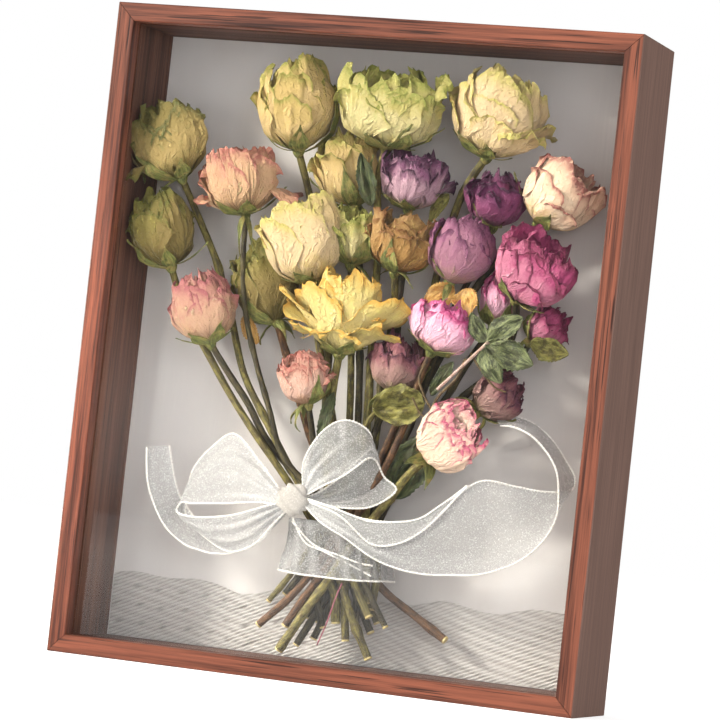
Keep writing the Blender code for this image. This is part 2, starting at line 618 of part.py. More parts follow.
def band_mesh(stations):
    """A flat strip of ribbon through its stations."""
    middles = [Vector(middle) * MM for middle, _half in stations]
    rings = []
    for k, (_middle, half) in enumerate(stations):
        before = middles[max(k - 1, 0)]
        after = middles[min(k + 1, len(middles) - 1)]
        reach = Vector(half) * MM
        face = (after - before).cross(reach).normalized() * (RIBBON_THICK / 2)
        rings.append([middles[k] - reach - face, middles[k] + reach - face,
                      middles[k] + reach + face, middles[k] - reach + face])
    return loft(rings)


def blunt(value):
    """Cosine or sine of a squared-off oval."""
    return math.copysign(abs(value) ** (2 / WRAP_SQUARE), value)


def loft_walls(inner, outer):
    """A band with an inner and an outer wall, joined at both rims."""
    bm = bmesh.new()
    rows = [[bm.verts.new(p) for p in ring] for ring in outer + inner[::-1]]
    for low, high in zip(rows, rows[1:] + rows[:1]):
        for i in range(len(low)):
            j = (i + 1) % len(low)
            bm.faces.new((low[i], low[j], high[j], high[i]))
    return bm


def wrap_mesh(routes):
    """The turn of ribbon round the stems: a thin oval band just clear of all of them."""
    inner, outer = [], []
    for z in np.linspace(WRAP_LOW, WRAP_HIGH, WRAP_LEVELS):
        spots = []
        for rose, route in zip(ROSES, routes):
            line = dense(route)
            near = line[np.abs(line[:, 2] - z) < WRAP_REACH]
            spots += [(x, y, rose.radius * MM) for x, y, _z in near]
        spots = np.array(spots)
        flat = spots[:, :2]
        middle = (flat.max(0) + flat.min(0)) / 2
        half = (flat.max(0) - flat.min(0)) / 2
        reach = (np.abs((flat - middle) / half) ** WRAP_SQUARE).sum(1) ** (1 / WRAP_SQUARE)
        clear = spots[:, 2].max() * WRAP_SWELL + 2 * GAP
        for rings, extra in ((inner, clear), (outer, clear + RIBBON_THICK)):
            size = half * reach.max() + extra
            ring = []
            for angle in np.linspace(0, math.tau, WRAP_SIDES, endpoint=False):
                ring.append((middle[0] + size[0] * blunt(math.cos(angle)),
                             middle[1] + size[1] * blunt(math.sin(angle)), z))
            rings.append(ring)
    return loft_walls(inner, outer)


def make_ribbon(parts, routes):
    """Knot, loops, tails and the turn round the stems."""
    sheer = new_material("sheer_ribbon", (0.92, 0.91, 0.89), 0.5)
    knot = bmesh.new()
    size = Matrix.Diagonal((*(Vector(KNOT_HALF) * MM), 1.0))
    place = Matrix.Translation(Vector(KNOT_MIDDLE) * MM) @ size
    bmesh.ops.create_uvsphere(knot, u_segments=9, v_segments=6, radius=1.0, matrix=place)
    finish("ribbon_knot", knot, sheer, parts)
    for name, stations in BANDS.items():
        finish(name, band_mesh(stations), sheer, parts)
    finish("ribbon_wrap", wrap_mesh(routes), sheer, parts)


def make_roses(parts, cutters):
    """Every rose: head, sepals and stem joined in one solid."""
    petals = {name: new_material("rose_" + name, tint, 0.8) for name, tint in PETALS.items()}
    routes = spread_stems(np.array([first_route(rose) for rose in ROSES]), ROSES)
    for index, rose in enumerate(ROSES):
        mat = petals[rose.colour]
        limits = head_cell(index, ROSES, routes)
        head = finish(rose.name, head_mesh(rose, limits), mat, parts)
        axis = head_frame(rose)[2]
        line = [routes[index][0] + axis * STEM_IN_HEAD] + list(routes[index])
        stem = finish(rose.name + "_stem", tube(line, rose.radius * MM, parts), mat, cutters)
        combine(head, stem, "UNION")
    return routes


def main():
    """Clears the scene and builds every piece."""
    for obj in list(bpy.data.objects):
        bpy.data.objects.remove(obj)
    parts = bpy.data.collections.new("rose_box_frame")
    cutters = bpy.data.collections.new("cutters")
    bpy.context.scene.collection.children.link(parts)
    bpy.context.scene.collection.children.link(cutters)
    make_frame(parts, cutters)
    make_cloth(parts)
    routes = make_roses(parts, cutters)
    make_leaves(parts, cutters)
    make_ribbon(parts, routes)


main()
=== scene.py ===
"""Looks of a deep wooden box frame that holds a bouquet of dried roses behind glass.

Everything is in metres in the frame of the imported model: X is the width, -Y is the glass
side and +Z is up. Each class holds the sizes of one sub-assembly and builds its pieces.
"""
import logging
import math
import random
from dataclasses import dataclass, field
from enum import Enum
from typing import Dict, List, Sequence, Tuple

import bpy
import numpy as np
from mathutils import Matrix, Vector


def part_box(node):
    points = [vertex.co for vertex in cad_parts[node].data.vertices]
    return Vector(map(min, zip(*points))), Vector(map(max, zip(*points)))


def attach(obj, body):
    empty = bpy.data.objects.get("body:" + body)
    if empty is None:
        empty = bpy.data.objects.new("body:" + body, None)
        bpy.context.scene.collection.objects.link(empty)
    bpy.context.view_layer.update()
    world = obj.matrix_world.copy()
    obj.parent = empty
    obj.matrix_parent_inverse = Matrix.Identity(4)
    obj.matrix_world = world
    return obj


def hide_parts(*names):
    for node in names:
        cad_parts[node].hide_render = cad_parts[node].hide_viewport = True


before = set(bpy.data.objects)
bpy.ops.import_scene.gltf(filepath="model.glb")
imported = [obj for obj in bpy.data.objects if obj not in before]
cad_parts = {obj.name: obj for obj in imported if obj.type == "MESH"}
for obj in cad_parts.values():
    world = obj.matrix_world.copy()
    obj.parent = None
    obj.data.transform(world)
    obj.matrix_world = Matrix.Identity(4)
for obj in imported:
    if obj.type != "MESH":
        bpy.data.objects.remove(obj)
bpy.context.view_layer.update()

LOG = logging.getLogger("rose_box")
MM = 0.001
Colour = Tuple[float, float, float, float]
Point = Tuple[float, float, float]
Pair = Tuple[float, float]
Row = Tuple[float, ...]
# Where the outer side faces of the rails begin, and the nearest places to the glass
SIDE_FACE = (133.3 * MM, 133.8 * MM)
INSIDE_GLASS = -17.5 * MM
STEM_FRONT = -17.6 * MM


def srgb(red: float, green: float, blue: float) -> Colour:
    """Turn a display colour into the linear colour that shaders use.

    Args:
        red, green, blue: Display values from 0 to 255.

    Returns:
        The linear colour with full alpha.
    """
    def linear(value: float) -> float:
        """Undo the display curve of one channel."""
        share = value / 255
        return share / 12.92 if share <= 0.04045 else ((share + 0.055) / 1.055) ** 2.4
    return (linear(red), linear(green), linear(blue), 1.0)


def smooth(value: np.ndarray, low: float = 0.0, high: float = 1.0) -> np.ndarray:
    """Ease from 0 at low to 1 at high.

    Args:
        value: Numbers to ease.
        low: Where the step starts.
        high: Where the step ends.

    Returns:
        The eased numbers.
    """
    share = np.clip((value - low) / (high - low), 0, 1)
    return share * share * (3 - 2 * share)


def waves(u: np.ndarray, v: np.ndarray, seed: int, across: float, along: float,
          count: int = 7) -> np.ndarray:
    """Add up seeded sine waves, which gives smooth uneven ripples.

    Args:
        u, v: Places across and along a patch.
        seed: Picks the ripples.
        across, along: How fast the ripples change each way.
        count: Number of waves.

    Returns:
        Ripple heights, mostly from -1 to 1.
    """
    dice = np.random.default_rng(seed)
    total = np.zeros_like(u)
    for _ in range(count):
        total += np.sin(dice.normal(0, across) * u + dice.normal(0, along) * v
                        + dice.uniform(0, math.tau))
    return total / math.sqrt(count)


class Bench:
    """Small workbench steps that every sub-assembly uses."""

    @staticmethod
    def clear_selection() -> None:
        """Deselect everything."""
        for obj in bpy.context.selected_objects:
            obj.select_set(False)

    @staticmethod
    def pick(obj: bpy.types.Object) -> None:
        """Select one object alone and make it active."""
        Bench.clear_selection()
        obj.select_set(True)
        bpy.context.view_layer.objects.active = obj

    @staticmethod
    def join(name: str, pieces: Sequence[bpy.types.Object]) -> bpy.types.Object:
        """Join objects into one.

        Args:
            name: Name of the joined object.
            pieces: What is joined. The first one stays.

        Returns:
            The joined object.
        """
        Bench.pick(pieces[0])
        for piece in pieces[1:]:
            piece.select_set(True)
        if len(pieces) > 1:
            bpy.ops.object.join()
        joined = bpy.context.view_layer.objects.active
        joined.name = name
        joined.data.name = name
        return joined

    @staticmethod
    def thicken(obj: bpy.types.Object, thickness: float, offset: float = -1.0) -> None:
        """Give a sheet its thickness with an applied Solidify.

        Args:
            obj: The sheet.
            thickness: Wall thickness in metres.
            offset: -1 thickens inwards and 0 both ways.
        """
        Bench.pick(obj)
        wall = obj.modifiers.new("Wall", "SOLIDIFY")
        wall.thickness = thickness
        wall.offset = offset
        wall.use_even_offset = False
        bpy.ops.object.modifier_apply(modifier=wall.name)

    @staticmethod
    def dress(obj: bpy.types.Object, *materials: bpy.types.Material) -> None:
        """Replace an object's materials.

        Args:
            obj: The object.
            materials: One material for each slot.
        """
        obj.data.materials.clear()
        for material in materials:
            obj.data.materials.append(material)

    @staticmethod
    def settle(obj: bpy.types.Object, slot: str, *materials: bpy.types.Material,
               node: str = "") -> bpy.types.Object:
        """Dress a finished piece, shade it smooth and hand it to the frame.

        Args:
            obj: The piece, at the origin.
            slot: The record's material slot; not used.
            materials: Its materials, where it isn't dressed yet.
            node: The node that it stands for.

        Returns:
            The same piece.
        """
        if materials:
            Bench.dress(obj, *materials)
        if node:
            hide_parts(node)
        Bench.pick(obj)
        bpy.ops.object.shade_smooth_by_angle(angle=math.radians(50))
        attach(obj, "root")
        LOG.info("built %s with %d faces", obj.name, len(obj.data.polygons))
        return obj

    @staticmethod
    def reshape(obj: bpy.types.Object, points: np.ndarray) -> None:
        """Move an object's vertices."""
        obj.data.vertices.foreach_set("co", points.astype(np.float32).ravel())
        obj.data.update()

    @staticmethod
    def ball(segments: int, rings: int) -> Tuple[bpy.types.Object, np.ndarray]:
        """Add a round ball and return it with its points."""
        Bench.clear_selection()
        bpy.ops.mesh.primitive_uv_sphere_add(segments=segments, ring_count=rings, radius=1.0)
        ball = bpy.context.active_object
        return ball, np.array([v.co for v in ball.data.vertices])

    @staticmethod
    def rod(name: str, lines: Sequence[np.ndarray], radius: float, sides: int,
            swell: Sequence[float] = ()) -> bpy.types.Object:
        """Draw round rods along lines and turn them into one mesh.

        Args:
            name: Name of the object.
            lines: Lines in metres.
            radius: Radius in metres.
            sides: Bevel resolution.
            swell: Share of the radius at each point, where it changes.

        Returns:
            The rods with closed ends.
        """
        curve = bpy.data.curves.new(name, "CURVE")
        curve.dimensions = "3D"
        curve.bevel_depth = radius
        curve.bevel_resolution = sides
        curve.use_fill_caps = True
        for line in lines:
            spline = curve.splines.new("POLY")
            spline.points.add(len(line) - 1)
            for k, (spot, point) in enumerate(zip(spline.points, line)):
                spot.co = (*point, 1.0)
                if len(swell):
                    spot.radius = swell[k]
        rod = bpy.data.objects.new(name, curve)
        bpy.context.scene.collection.objects.link(rod)
        Bench.pick(rod)
        bpy.ops.object.convert(target="MESH")
        return bpy.context.active_object


class Patch:
    """A flat grid that is modelled once and copied for every petal, leaf and band."""

    def __init__(self, across: int, along: int) -> None:
        """Add the grid that the copies are made from.

        Args:
            across: Faces across the patch.
            along: Faces along the patch.
        """
        Bench.clear_selection()
        bpy.ops.mesh.primitive_grid_add(x_subdivisions=across, y_subdivisions=along, size=2.0)
        grid = bpy.context.active_object
        self.mesh = grid.data
        spots = np.zeros(len(self.mesh.vertices) * 3)
        self.mesh.vertices.foreach_get("co", spots)
        spots = spots.reshape(-1, 3)
        self.u = spots[:, 0].copy()
        self.v = (spots[:, 1] + 1) / 2
        bpy.data.objects.remove(grid)

    def shaped(self, name: str, points: np.ndarray,
               mask: np.ndarray = None) -> bpy.types.Object:
        """Copy the grid and move its vertices.

        Args:
            name: Name of the new object.
            points: New place of each vertex.
            mask: Red, green and blue of the "mask" attribute for each vertex.

        Returns:
            The shaped copy.
        """
        mesh = self.mesh.copy()
        mesh.vertices.foreach_set("co", np.asarray(points, np.float32).ravel())
        if mask is not None:
            layer = mesh.color_attributes.new("mask", "FLOAT_COLOR", "POINT")
            rows = np.ones((len(mask), 4), np.float32)
            rows[:, :3] = mask
            layer.data.foreach_set("color", rows.ravel())
        mesh.update()
        obj = bpy.data.objects.new(name, mesh)
        bpy.context.scene.collection.objects.link(obj)
        return obj


class Nodes:
    """Adds and links shader nodes in one node tree."""

    def __init__(self, tree: bpy.types.NodeTree) -> None:
        """Work on a node tree."""
        self.tree = tree

    def feed(self, socket: bpy.types.NodeSocket, value: object) -> None:
        """Link a socket, or set it to a constant."""
        if isinstance(value, bpy.types.NodeSocket):
            self.tree.links.new(value, socket)
        else:
            socket.default_value = value

    def add(self, kind: str, feeds: Dict = None, **settings: object) -> bpy.types.Node:
        """Add one node.

        Args:
            kind: Node type without its "ShaderNode" prefix.
            feeds: What each input socket gets.
            settings: Properties of the node.

        Returns:
            The node.
        """
        node = self.tree.nodes.new("ShaderNode" + kind)
        for name, value in settings.items():
            setattr(node, name, value)
        for socket, value in (feeds or {}).items():
            self.feed(node.inputs[socket], value)
        return node

    def mix(self, factor: object, first: object, second: object,
            blend: str = "MIX") -> bpy.types.NodeSocket:
        """Mix two colours and return the result socket."""
        node = self.add("Mix", {0: factor, 6: first, 7: second},
                        data_type="RGBA", blend_type=blend)
        return node.outputs[2]

    def math(self, operation: str, first: object, second: object = 0.0) -> bpy.types.NodeSocket:
        """Calculate with two numbers and return the result socket."""
        return self.add("Math", {0: first, 1: second}, operation=operation).outputs[0]

    def times(self, first: object, second: object) -> bpy.types.NodeSocket:
        """Multiply two numbers."""
        return self.math("MULTIPLY", first, second)

    def plus(self, first: object, second: object) -> bpy.types.NodeSocket:
        """Add two numbers."""
        return self.math("ADD", first, second)

    def less(self, first: object, second: object) -> bpy.types.NodeSocket:
        """Take the second number from the first."""
        return self.math("SUBTRACT", first, second)

    def noise(self, vector: object, scale: float, detail: float = 3.0,
              rough: float = 0.55) -> bpy.types.NodeSocket:
        """Add a noise texture and return its value socket."""
        return self.add("TexNoise", {"Vector": vector, "Scale": scale, "Detail": detail,
                                     "Roughness": rough}).outputs["Fac"]

    def step(self, value: object, low: float, high: float) -> bpy.types.NodeSocket:
        """Ease a number from 0 at low to 1 at high."""
        return self.add("MapRange", {"Value": value, "From Min": low, "From Max": high},
                        interpolation_type="SMOOTHSTEP").outputs["Result"]

    def stretch(self, vector: object, scale: Point, turn: Point = (0, 0, 0)) -> bpy.types.NodeSocket:
        """Scale and turn coordinates and return them."""
        return self.add("Mapping", {"Vector": vector, "Scale": scale,
                                    "Rotation": turn}).outputs["Vector"]

    def mask(self) -> bpy.types.NodeSocket:
        """Return the piece's own "mask" attribute."""
        return self.add("Attribute", attribute_name="mask").outputs["Vector"]

    def part(self, vector: object) -> bpy.types.NodeSocket:
        """Return the first number of a vector."""
        return self.add("SeparateXYZ", {0: vector}).outputs[0]

    def group(self, tree: bpy.types.NodeTree, feeds: Dict) -> bpy.types.Node:
        """Place a node group with its own values."""
        node = self.tree.nodes.new("ShaderNodeGroup")
        node.node_tree = tree
        for socket, value in feeds.items():
            self.feed(node.inputs[socket], value)
        return node


class EffectGroup:
    """A shader node group that puts out colours and heights."""

    SOCKETS = {"colour": "NodeSocketColor", "value": "NodeSocketFloat",
               "vector": "NodeSocketVector"}

    def __init__(self, name: str, takes: Dict[str, str], gives: Dict[str, str]) -> None:
        """Make the group's sockets.

        Args:
            name: Name of the group.
            takes: Kind of each input.
            gives: Kind of each output.
        """
        self.tree = bpy.data.node_groups.new(name, "ShaderNodeTree")
        for way, sockets in (("INPUT", takes), ("OUTPUT", gives)):
            for label, kind in sockets.items():
                self.tree.interface.new_socket(label, in_out=way, socket_type=self.SOCKETS[kind])
        self.nodes = Nodes(self.tree)
        self.takes = self.tree.nodes.new("NodeGroupInput").outputs
        self.gives = self.tree.nodes.new("NodeGroupOutput").inputs


def grain_group() -> bpy.types.NodeTree:
    """Build the wood grain: long streaks, fine lines and open pores.

    Returns:
        A group with Vector, Dark, Light and Pore inputs and Colour and Height outputs.
    """
    group = EffectGroup("wood_grain",
                        {"Vector": "vector", "Dark": "colour", "Light": "colour", "Pore": "colour"},
                        {"Colour": "colour", "Height": "value"})
    n, takes = group.nodes, group.takes
    broad = n.noise(takes["Vector"], 110, 4, 0.6)
    lines = n.noise(takes["Vector"], 620, 4, 0.7)
    streak = n.step(n.plus(n.times(broad, 0.55),
                           n.times(lines, 0.45)), 0.36, 0.64)
    pores = n.step(n.noise(takes["Vector"], 1100, 2, 0.4), 0.60, 0.70)
    wood = n.mix(streak, takes["Dark"], takes["Light"])
    n.feed(group.gives["Colour"], n.mix(n.times(pores, 0.75), wood, takes["Pore"]))
    n.feed(group.gives["Height"], n.less(n.times(lines, 0.4), pores))
    return group.tree


def petal_group() -> bpy.types.NodeTree:
    """Build the dried petal: base to tip colours, tinted rim, papery creases with painted shade in them,
    a painted highlight on their crests, painted shade on the inner petals, and stains.

    Returns:
        A group with the petal's colours as inputs and Colour and Height outputs.
    """
    group = EffectGroup("petal_skin",
                        {"UV": "vector", "Object": "vector", "Mask": "vector", "Base": "colour",
                         "Body": "colour", "Tip": "colour", "Rim": "colour", "Crease Shade": "colour",
                         "Stain": "colour", "Crease Shade Share": "value", "Stain Share": "value"},
                        {"Colour": "colour", "Height": "value"})
    n, takes = group.nodes, group.takes
    uv = n.add("SeparateXYZ", {0: takes["UV"]}).outputs
    mask = n.add("SeparateXYZ", {0: takes["Mask"]}).outputs
    patches = n.noise(takes["Object"], 150, 4, 0.65)
    along = n.plus(uv[1], n.times(n.less(patches, 0.5), 0.9))
    skin = n.mix(n.step(along, 0.0, 0.36), takes["Base"], takes["Body"])
    skin = n.mix(n.step(n.plus(along, n.times(mask[1], 0.35)), 0.60, 1.15),
                 skin, takes["Tip"])
    fan = n.math("DIVIDE", n.less(uv[0], 0.5), n.plus(uv[1], 0.7))
    run = n.add("CombineXYZ", {0: n.times(fan, 20.0),
                               1: n.times(uv[1], 3.0),
                               2: n.times(mask[1], 9.0)}).outputs[0]
    wander = n.add("TexNoise", {"Vector": takes["Object"], "Scale": 260.0, "Detail": 2.0})
    run = n.add("VectorMath", {0: run, 1: n.add("VectorMath", {
        0: wander.outputs["Color"], "Scale": 3.0}, operation="SCALE").outputs[0]}).outputs[0]
    creases = n.add("TexNoise", {"Vector": run, "Scale": 0.8, "Detail": 5.0, "Roughness": 0.6,
                                 "Lacunarity": 2.1}, noise_type="RIDGED_MULTIFRACTAL",
                    normalize=True).outputs["Fac"]
    crepe = n.add("TexNoise", {"Vector": takes["Object"], "Scale": 330.0, "Detail": 5.0,
                               "Roughness": 0.62, "Distortion": 0.6},
                  noise_type="RIDGED_MULTIFRACTAL", normalize=True).outputs["Fac"]
    height = n.plus(n.times(creases, 0.82), n.times(crepe, 0.22))
    # Painted shade: the low places of the creases take the darker crease colour.
    crease_shade_mask = n.less(1.0, n.step(height, 0.20, 0.57))
    skin = n.mix(n.times(crease_shade_mask, takes["Crease Shade Share"]), skin, takes["Crease Shade"])
    stains = n.step(n.noise(takes["Object"], 240, 5, 0.7), 0.50, 0.70)
    skin = n.mix(n.times(stains, takes["Stain Share"]), skin, takes["Stain"])
    # Painted highlight: the crests of the creases are lightened.
    crest_highlight = n.step(height, 0.60, 0.95)
    skin = n.mix(n.times(crest_highlight, 0.35), skin, takes["Body"], "SCREEN")
    rim = n.times(mask[0], n.step(n.noise(takes["Object"], 360, 4), 0.22, 0.55))
    skin = n.mix(rim, skin, takes["Rim"])
    # Painted shade: the inner petals are darkened.
    skin = n.mix(n.times(mask[2], 0.45), skin, n.mix(0.6, takes["Crease Shade"], takes["Tip"]))
    n.feed(group.gives["Colour"], skin)
    n.feed(group.gives["Height"], height)
    return group.tree


def leaf_group() -> bpy.types.NodeTree:
    """Build the skin of dry leaves, sepals and stems: lengthwise streaks and blotches.

    Returns:
        A group with Vector, Object, Light, Dark and Dry inputs and Colour and Height outputs.
    """
    group = EffectGroup("leaf_skin",
                        {"Vector": "vector", "Object": "vector", "Light": "colour",
                         "Dark": "colour", "Dry": "colour", "Dry Share": "value"},
                        {"Colour": "colour", "Height": "value"})
    n, takes = group.nodes, group.takes
    streaks = n.noise(takes["Vector"], 1.0, 5, 0.75)
    blotch = n.noise(takes["Object"], 230, 5, 0.7)
    skin = n.mix(n.step(streaks, 0.35, 0.65), takes["Dark"], takes["Light"])
    dry = n.times(n.step(blotch, 0.47, 0.60), takes["Dry Share"])
    n.feed(group.gives["Colour"], n.mix(dry, skin, takes["Dry"]))
    wrinkle = n.add("TexNoise", {"Vector": takes["Object"], "Scale": 380.0, "Detail": 4.0},
                    noise_type="RIDGED_MULTIFRACTAL", normalize=True).outputs["Fac"]
    n.feed(group.gives["Height"], n.plus(streaks, wrinkle))
    return group.tree


def weave_group() -> bpy.types.NodeTree:
    """Build a plain weave from two crossing wave textures.

    Returns:
        A group with a Vector input, and Mask and Height outputs.
    """
    group = EffectGroup("weave", {"Vector": "vector"}, {"Mask": "value", "Height": "value"})
    n, takes = group.nodes, group.takes
    threads = [n.add("TexWave", {"Vector": takes["Vector"], "Scale": 1.0, "Distortion": 0.6,
                                 "Detail": 1.0}, bands_direction=way).outputs["Fac"]
               for way in ("X", "Y")]
    cloth = n.math("MAXIMUM", threads[0], threads[1])
    n.feed(group.gives["Mask"], n.step(cloth, 0.35, 0.85))
    n.feed(group.gives["Height"], cloth)
    return group.tree


class Finish:
    """Base of every finish: one Principled material with its nodes."""

    def start(self, name: str, rough: float, **constants: object) -> None:
        """Make the material.

        Args:
            name: Name of the material.
            rough: Roughness of the surface.
            constants: Values set on the shader's own sockets.
        """
        self.material = bpy.data.materials.new(name)
        self.material.use_nodes = True
        self.nodes = Nodes(self.material.node_tree)
        self.shader = self.material.node_tree.nodes["Principled BSDF"]
        self.shader.inputs["Roughness"].default_value = rough
        for label, value in constants.items():
            self.shader.inputs[label.replace("_", " ")].default_value = value
        self.places = self.nodes.add("TexCoord").outputs

    def bump(self, height: object, distance: float, strength: float = 1.0) -> None:
        """Raise the surface by a height.

        Args:
            height: Height socket.
            distance: Height in metres.
            strength: Share of the effect.
        """
        node = self.nodes.add("Bump", {"Height": height, "Distance": distance,
                                       "Strength": strength})
        self.nodes.feed(self.shader.inputs["Normal"], node.outputs["Normal"])

    def colour(self, value: object) -> None:
        """Set or link the base colour."""
        self.nodes.feed(self.shader.inputs["Base Color"], value)


@dataclass(frozen=True)
class WoodFinish:
    """Stained wood with the grain along one axis, and painted shade and sheen on its outer side faces.

    Attributes:
        name: Material name.
        dark, light, pore: Colours of the streaks, the open wood and the pores.
        along: Index of the axis that the grain follows.
        rough: Roughness.
        coat: Weight of the thin varnish.
        side: Painted shade and sheen of the outer side faces, a darker and greyer colour than the front.
            Its alpha is their share.
    """

    name: str
    dark: Colour
    light: Colour
    pore: Colour
    along: int
    rough: float = 0.5
    coat: float = 0.1
    side: Colour = (0.0, 0.0, 0.0, 0.0)

    def make(self, grain: bpy.types.NodeTree) -> bpy.types.Material:
        """Build the material.

        Args:
            grain: The wood grain group.

        Returns:
            The material.
        """
        finish = Finish()
        finish.start(self.name, self.rough, Coat_Weight=self.coat, Coat_Roughness=0.35,
                     Specular_IOR_Level=0.3)
        scale = [1.0, 1.0, 1.0]
        scale[self.along] = 0.022
        vector = finish.nodes.stretch(finish.places["Object"], tuple(scale))
        wood = finish.nodes.group(grain, {"Vector": vector, "Dark": self.dark,
                                          "Light": self.light, "Pore": self.pore})
        n = finish.nodes
        # Painted shade and sheen: the outer side faces take a darker, greyer colour in place of the
        # grain.
        outer = n.step(n.math("ABSOLUTE", n.part(finish.places["Object"])), *SIDE_FACE)
        side_shade_sheen_colour = n.mix(n.step(n.noise(vector, 700, 3), 0.3, 0.7), self.side,
                     tuple(0.72 * c for c in self.side[:3]) + (1.0,))
        finish.colour(n.mix(n.times(outer, self.side[3]), wood.outputs["Colour"], side_shade_sheen_colour))
        finish.bump(wood.outputs["Height"], 0.08 * MM, 0.8)
        return finish.material


@dataclass(frozen=True)
class PetalFinish:
    """Dried petals of one colour family, in display colours.

    Attributes:
        base, body, tip, rim: Colours from the foot of a petal to its edge.
        crease_shade, stain: Colours of the painted shade in the creases and of the dried stains.
        crease_shade_share, stains: Shares of the painted crease shade and of the stains.
    """

    base: Point
    body: Point
    tip: Point
    rim: Point
    crease_shade: Point
    stain: Point
    crease_shade_share: float = 0.45
    stains: float = 0.35

    def make(self, name: str, skin: bpy.types.NodeTree) -> bpy.types.Material:
        """Build the material.

        Args:
            name: Material name.
            skin: The petal group.

        Returns:
            The material.
        """
        finish = Finish()
        finish.start(name, 0.7, Sheen_Weight=0.1, Sheen_Roughness=0.5, Specular_IOR_Level=0.3)
        n = finish.nodes
        petal = n.group(skin, {
            "UV": finish.places["UV"], "Object": finish.places["Object"], "Mask": n.mask(),
            "Base": srgb(*self.base), "Body": srgb(*self.body), "Tip": srgb(*self.tip),
            "Rim": srgb(*self.rim), "Crease Shade": srgb(*self.crease_shade), "Stain": srgb(*self.stain),
            "Crease Shade Share": self.crease_shade_share, "Stain Share": self.stains})
        finish.colour(petal.outputs["Colour"])
        finish.bump(petal.outputs["Height"], 1.5 * MM, 1.0)
        return finish.material


@dataclass(frozen=True)
class LeafFinish:
    """Dry leaves, sepals and stems, in display colours.

    Attributes:
        name: Material name.
        light, dark, dry: Colours of the streaks and the dried blotches.
        share: Share of the dried blotches.
        streaks: Streaks across and along the piece's own UV map.
        depth: Height of the streaks in metres.
    """

    name: str
    light: Point
    dark: Point
    dry: Point
    share: float = 0.5
    streaks: Pair = (14.0, 2.0)
    depth: float = 0.25 * MM

    def make(self, skin: bpy.types.NodeTree) -> bpy.types.Material:
        """Build the material.

        Args:
            skin: The leaf group.

        Returns:
            The material.
        """
        finish = Finish()
        finish.start(self.name, 0.62, Specular_IOR_Level=0.35)
        vector = finish.nodes.stretch(finish.places["UV"], (*self.streaks, 1.0))
        leaf = finish.nodes.group(skin, {
            "Vector": vector, "Object": finish.places["Object"], "Light": srgb(*self.light),
            "Dark": srgb(*self.dark), "Dry": srgb(*self.dry), "Dry Share": self.share})
        finish.colour(leaf.outputs["Colour"])
        finish.bump(leaf.outputs["Height"], self.depth, 0.8)
        return finish.material


@dataclass(frozen=True)
class OrganzaFinish:
    """Sheer white ribbon with painted glints on its threads.

    Attributes:
        name: Material name.
        shade, spark: Colours of the cloth and of its painted glints.
        clear: Opacity of one flat layer.
    """

    name: str
    shade: Point = (183, 181, 180)
    spark: Point = (235, 234, 233)
    clear: float = 0.46

    def make(self, weave: bpy.types.NodeTree) -> bpy.types.Material:
        """Build the material.

        Args:
            weave: The weave group.

        Returns:
            The material.
        """
        finish = Finish()
        finish.start(self.name, 0.42, Sheen_Weight=0.2, Sheen_Roughness=0.3)
        n = finish.nodes
        threads = n.stretch(finish.places["UV"], (210.0, 1300.0, 1.0))
        cloth = n.group(weave, {"Vector": threads})
        # Painted glints: random threads take the bright colour; they also cover more and stand higher.
        sparkle = n.step(n.noise(finish.places["Object"], 1750, 3, 0.6), 0.50, 0.68)
        dense = n.part(n.mask())
        finish.colour(n.mix(sparkle, srgb(*self.shade), srgb(*self.spark)))
        cover = n.plus(self.clear, n.times(sparkle, 0.26))
        cover = n.plus(cover, n.times(dense, 0.5))
        cover = n.plus(cover, n.times(cloth.outputs["Mask"], 0.05))
        n.feed(finish.shader.inputs["Alpha"], n.math("MINIMUM", cover, 0.97))
        finish.bump(n.plus(cloth.outputs["Height"], n.times(sparkle, 2.0)),
                    0.12 * MM, 0.7)
        return finish.material


@dataclass(frozen=True)
class ThreadFinish:
    """White twisted thread of the ribbon's edges.

    Attributes:
        name: Name of the material.
        light, shade: Its lightest and darkest colour.
    """

    name: str = "edge_thread"
    light: Point = (244, 241, 236)
    shade: Point = (188, 180, 172)

    def make(self) -> bpy.types.Material:
        """Build the material."""
        finish = Finish()
        finish.start(self.name, 0.5, Sheen_Weight=0.4)
        n = finish.nodes
        fibres = n.noise(finish.places["Object"], 1500, 3)
        finish.colour(n.mix(n.step(fibres, 0.3, 0.6), srgb(*self.shade), srgb(*self.light)))
        finish.bump(fibres, 0.1 * MM)
        return finish.material


@dataclass(frozen=True)
class SatinFinish:
    """Off-white satin with a soft shine, fine threads across it and painted shade of soft folds.

    Attributes:
        name: Name of the material.
        light, shade: The lightest and darkest ends of the painted shade of soft folds.
    """

    name: str = "satin_cloth"
    light: Point = (223, 219, 217)
    shade: Point = (211, 205, 202)

    def make(self) -> bpy.types.Material:
        """Build the material."""
        finish = Finish()
        finish.start(self.name, 0.55, Sheen_Weight=0.2, Sheen_Roughness=0.4,
                     Specular_IOR_Level=0.25)
        n = finish.nodes
        where = finish.places["Object"]
        # Painted shade of soft folds: large, soft patches between the light and the shade colour.
        fold_shade_patches = n.noise(n.stretch(where, (1.0, 1.0, 0.55)), 11, 4)
        slubs = n.noise(n.stretch(where, (1.0, 1.0, 0.03)), 900, 3, 0.6)
        shade = n.mix(n.step(fold_shade_patches, 0.35, 0.68), srgb(*self.shade), srgb(*self.light))
        finish.colour(n.mix(n.times(n.step(slubs, 0.45, 0.75), 0.25), shade,
                            srgb(226, 220, 215)))
        soft = n.noise(n.stretch(where, (1.0, 1.0, 0.45), (0, 0.3, 0)), 16, 3, 0.5)
        height = n.plus(n.times(soft, 1.0), n.times(slubs, 0.005))
        finish.bump(height, 3 * MM, 0.4)
        return finish.material


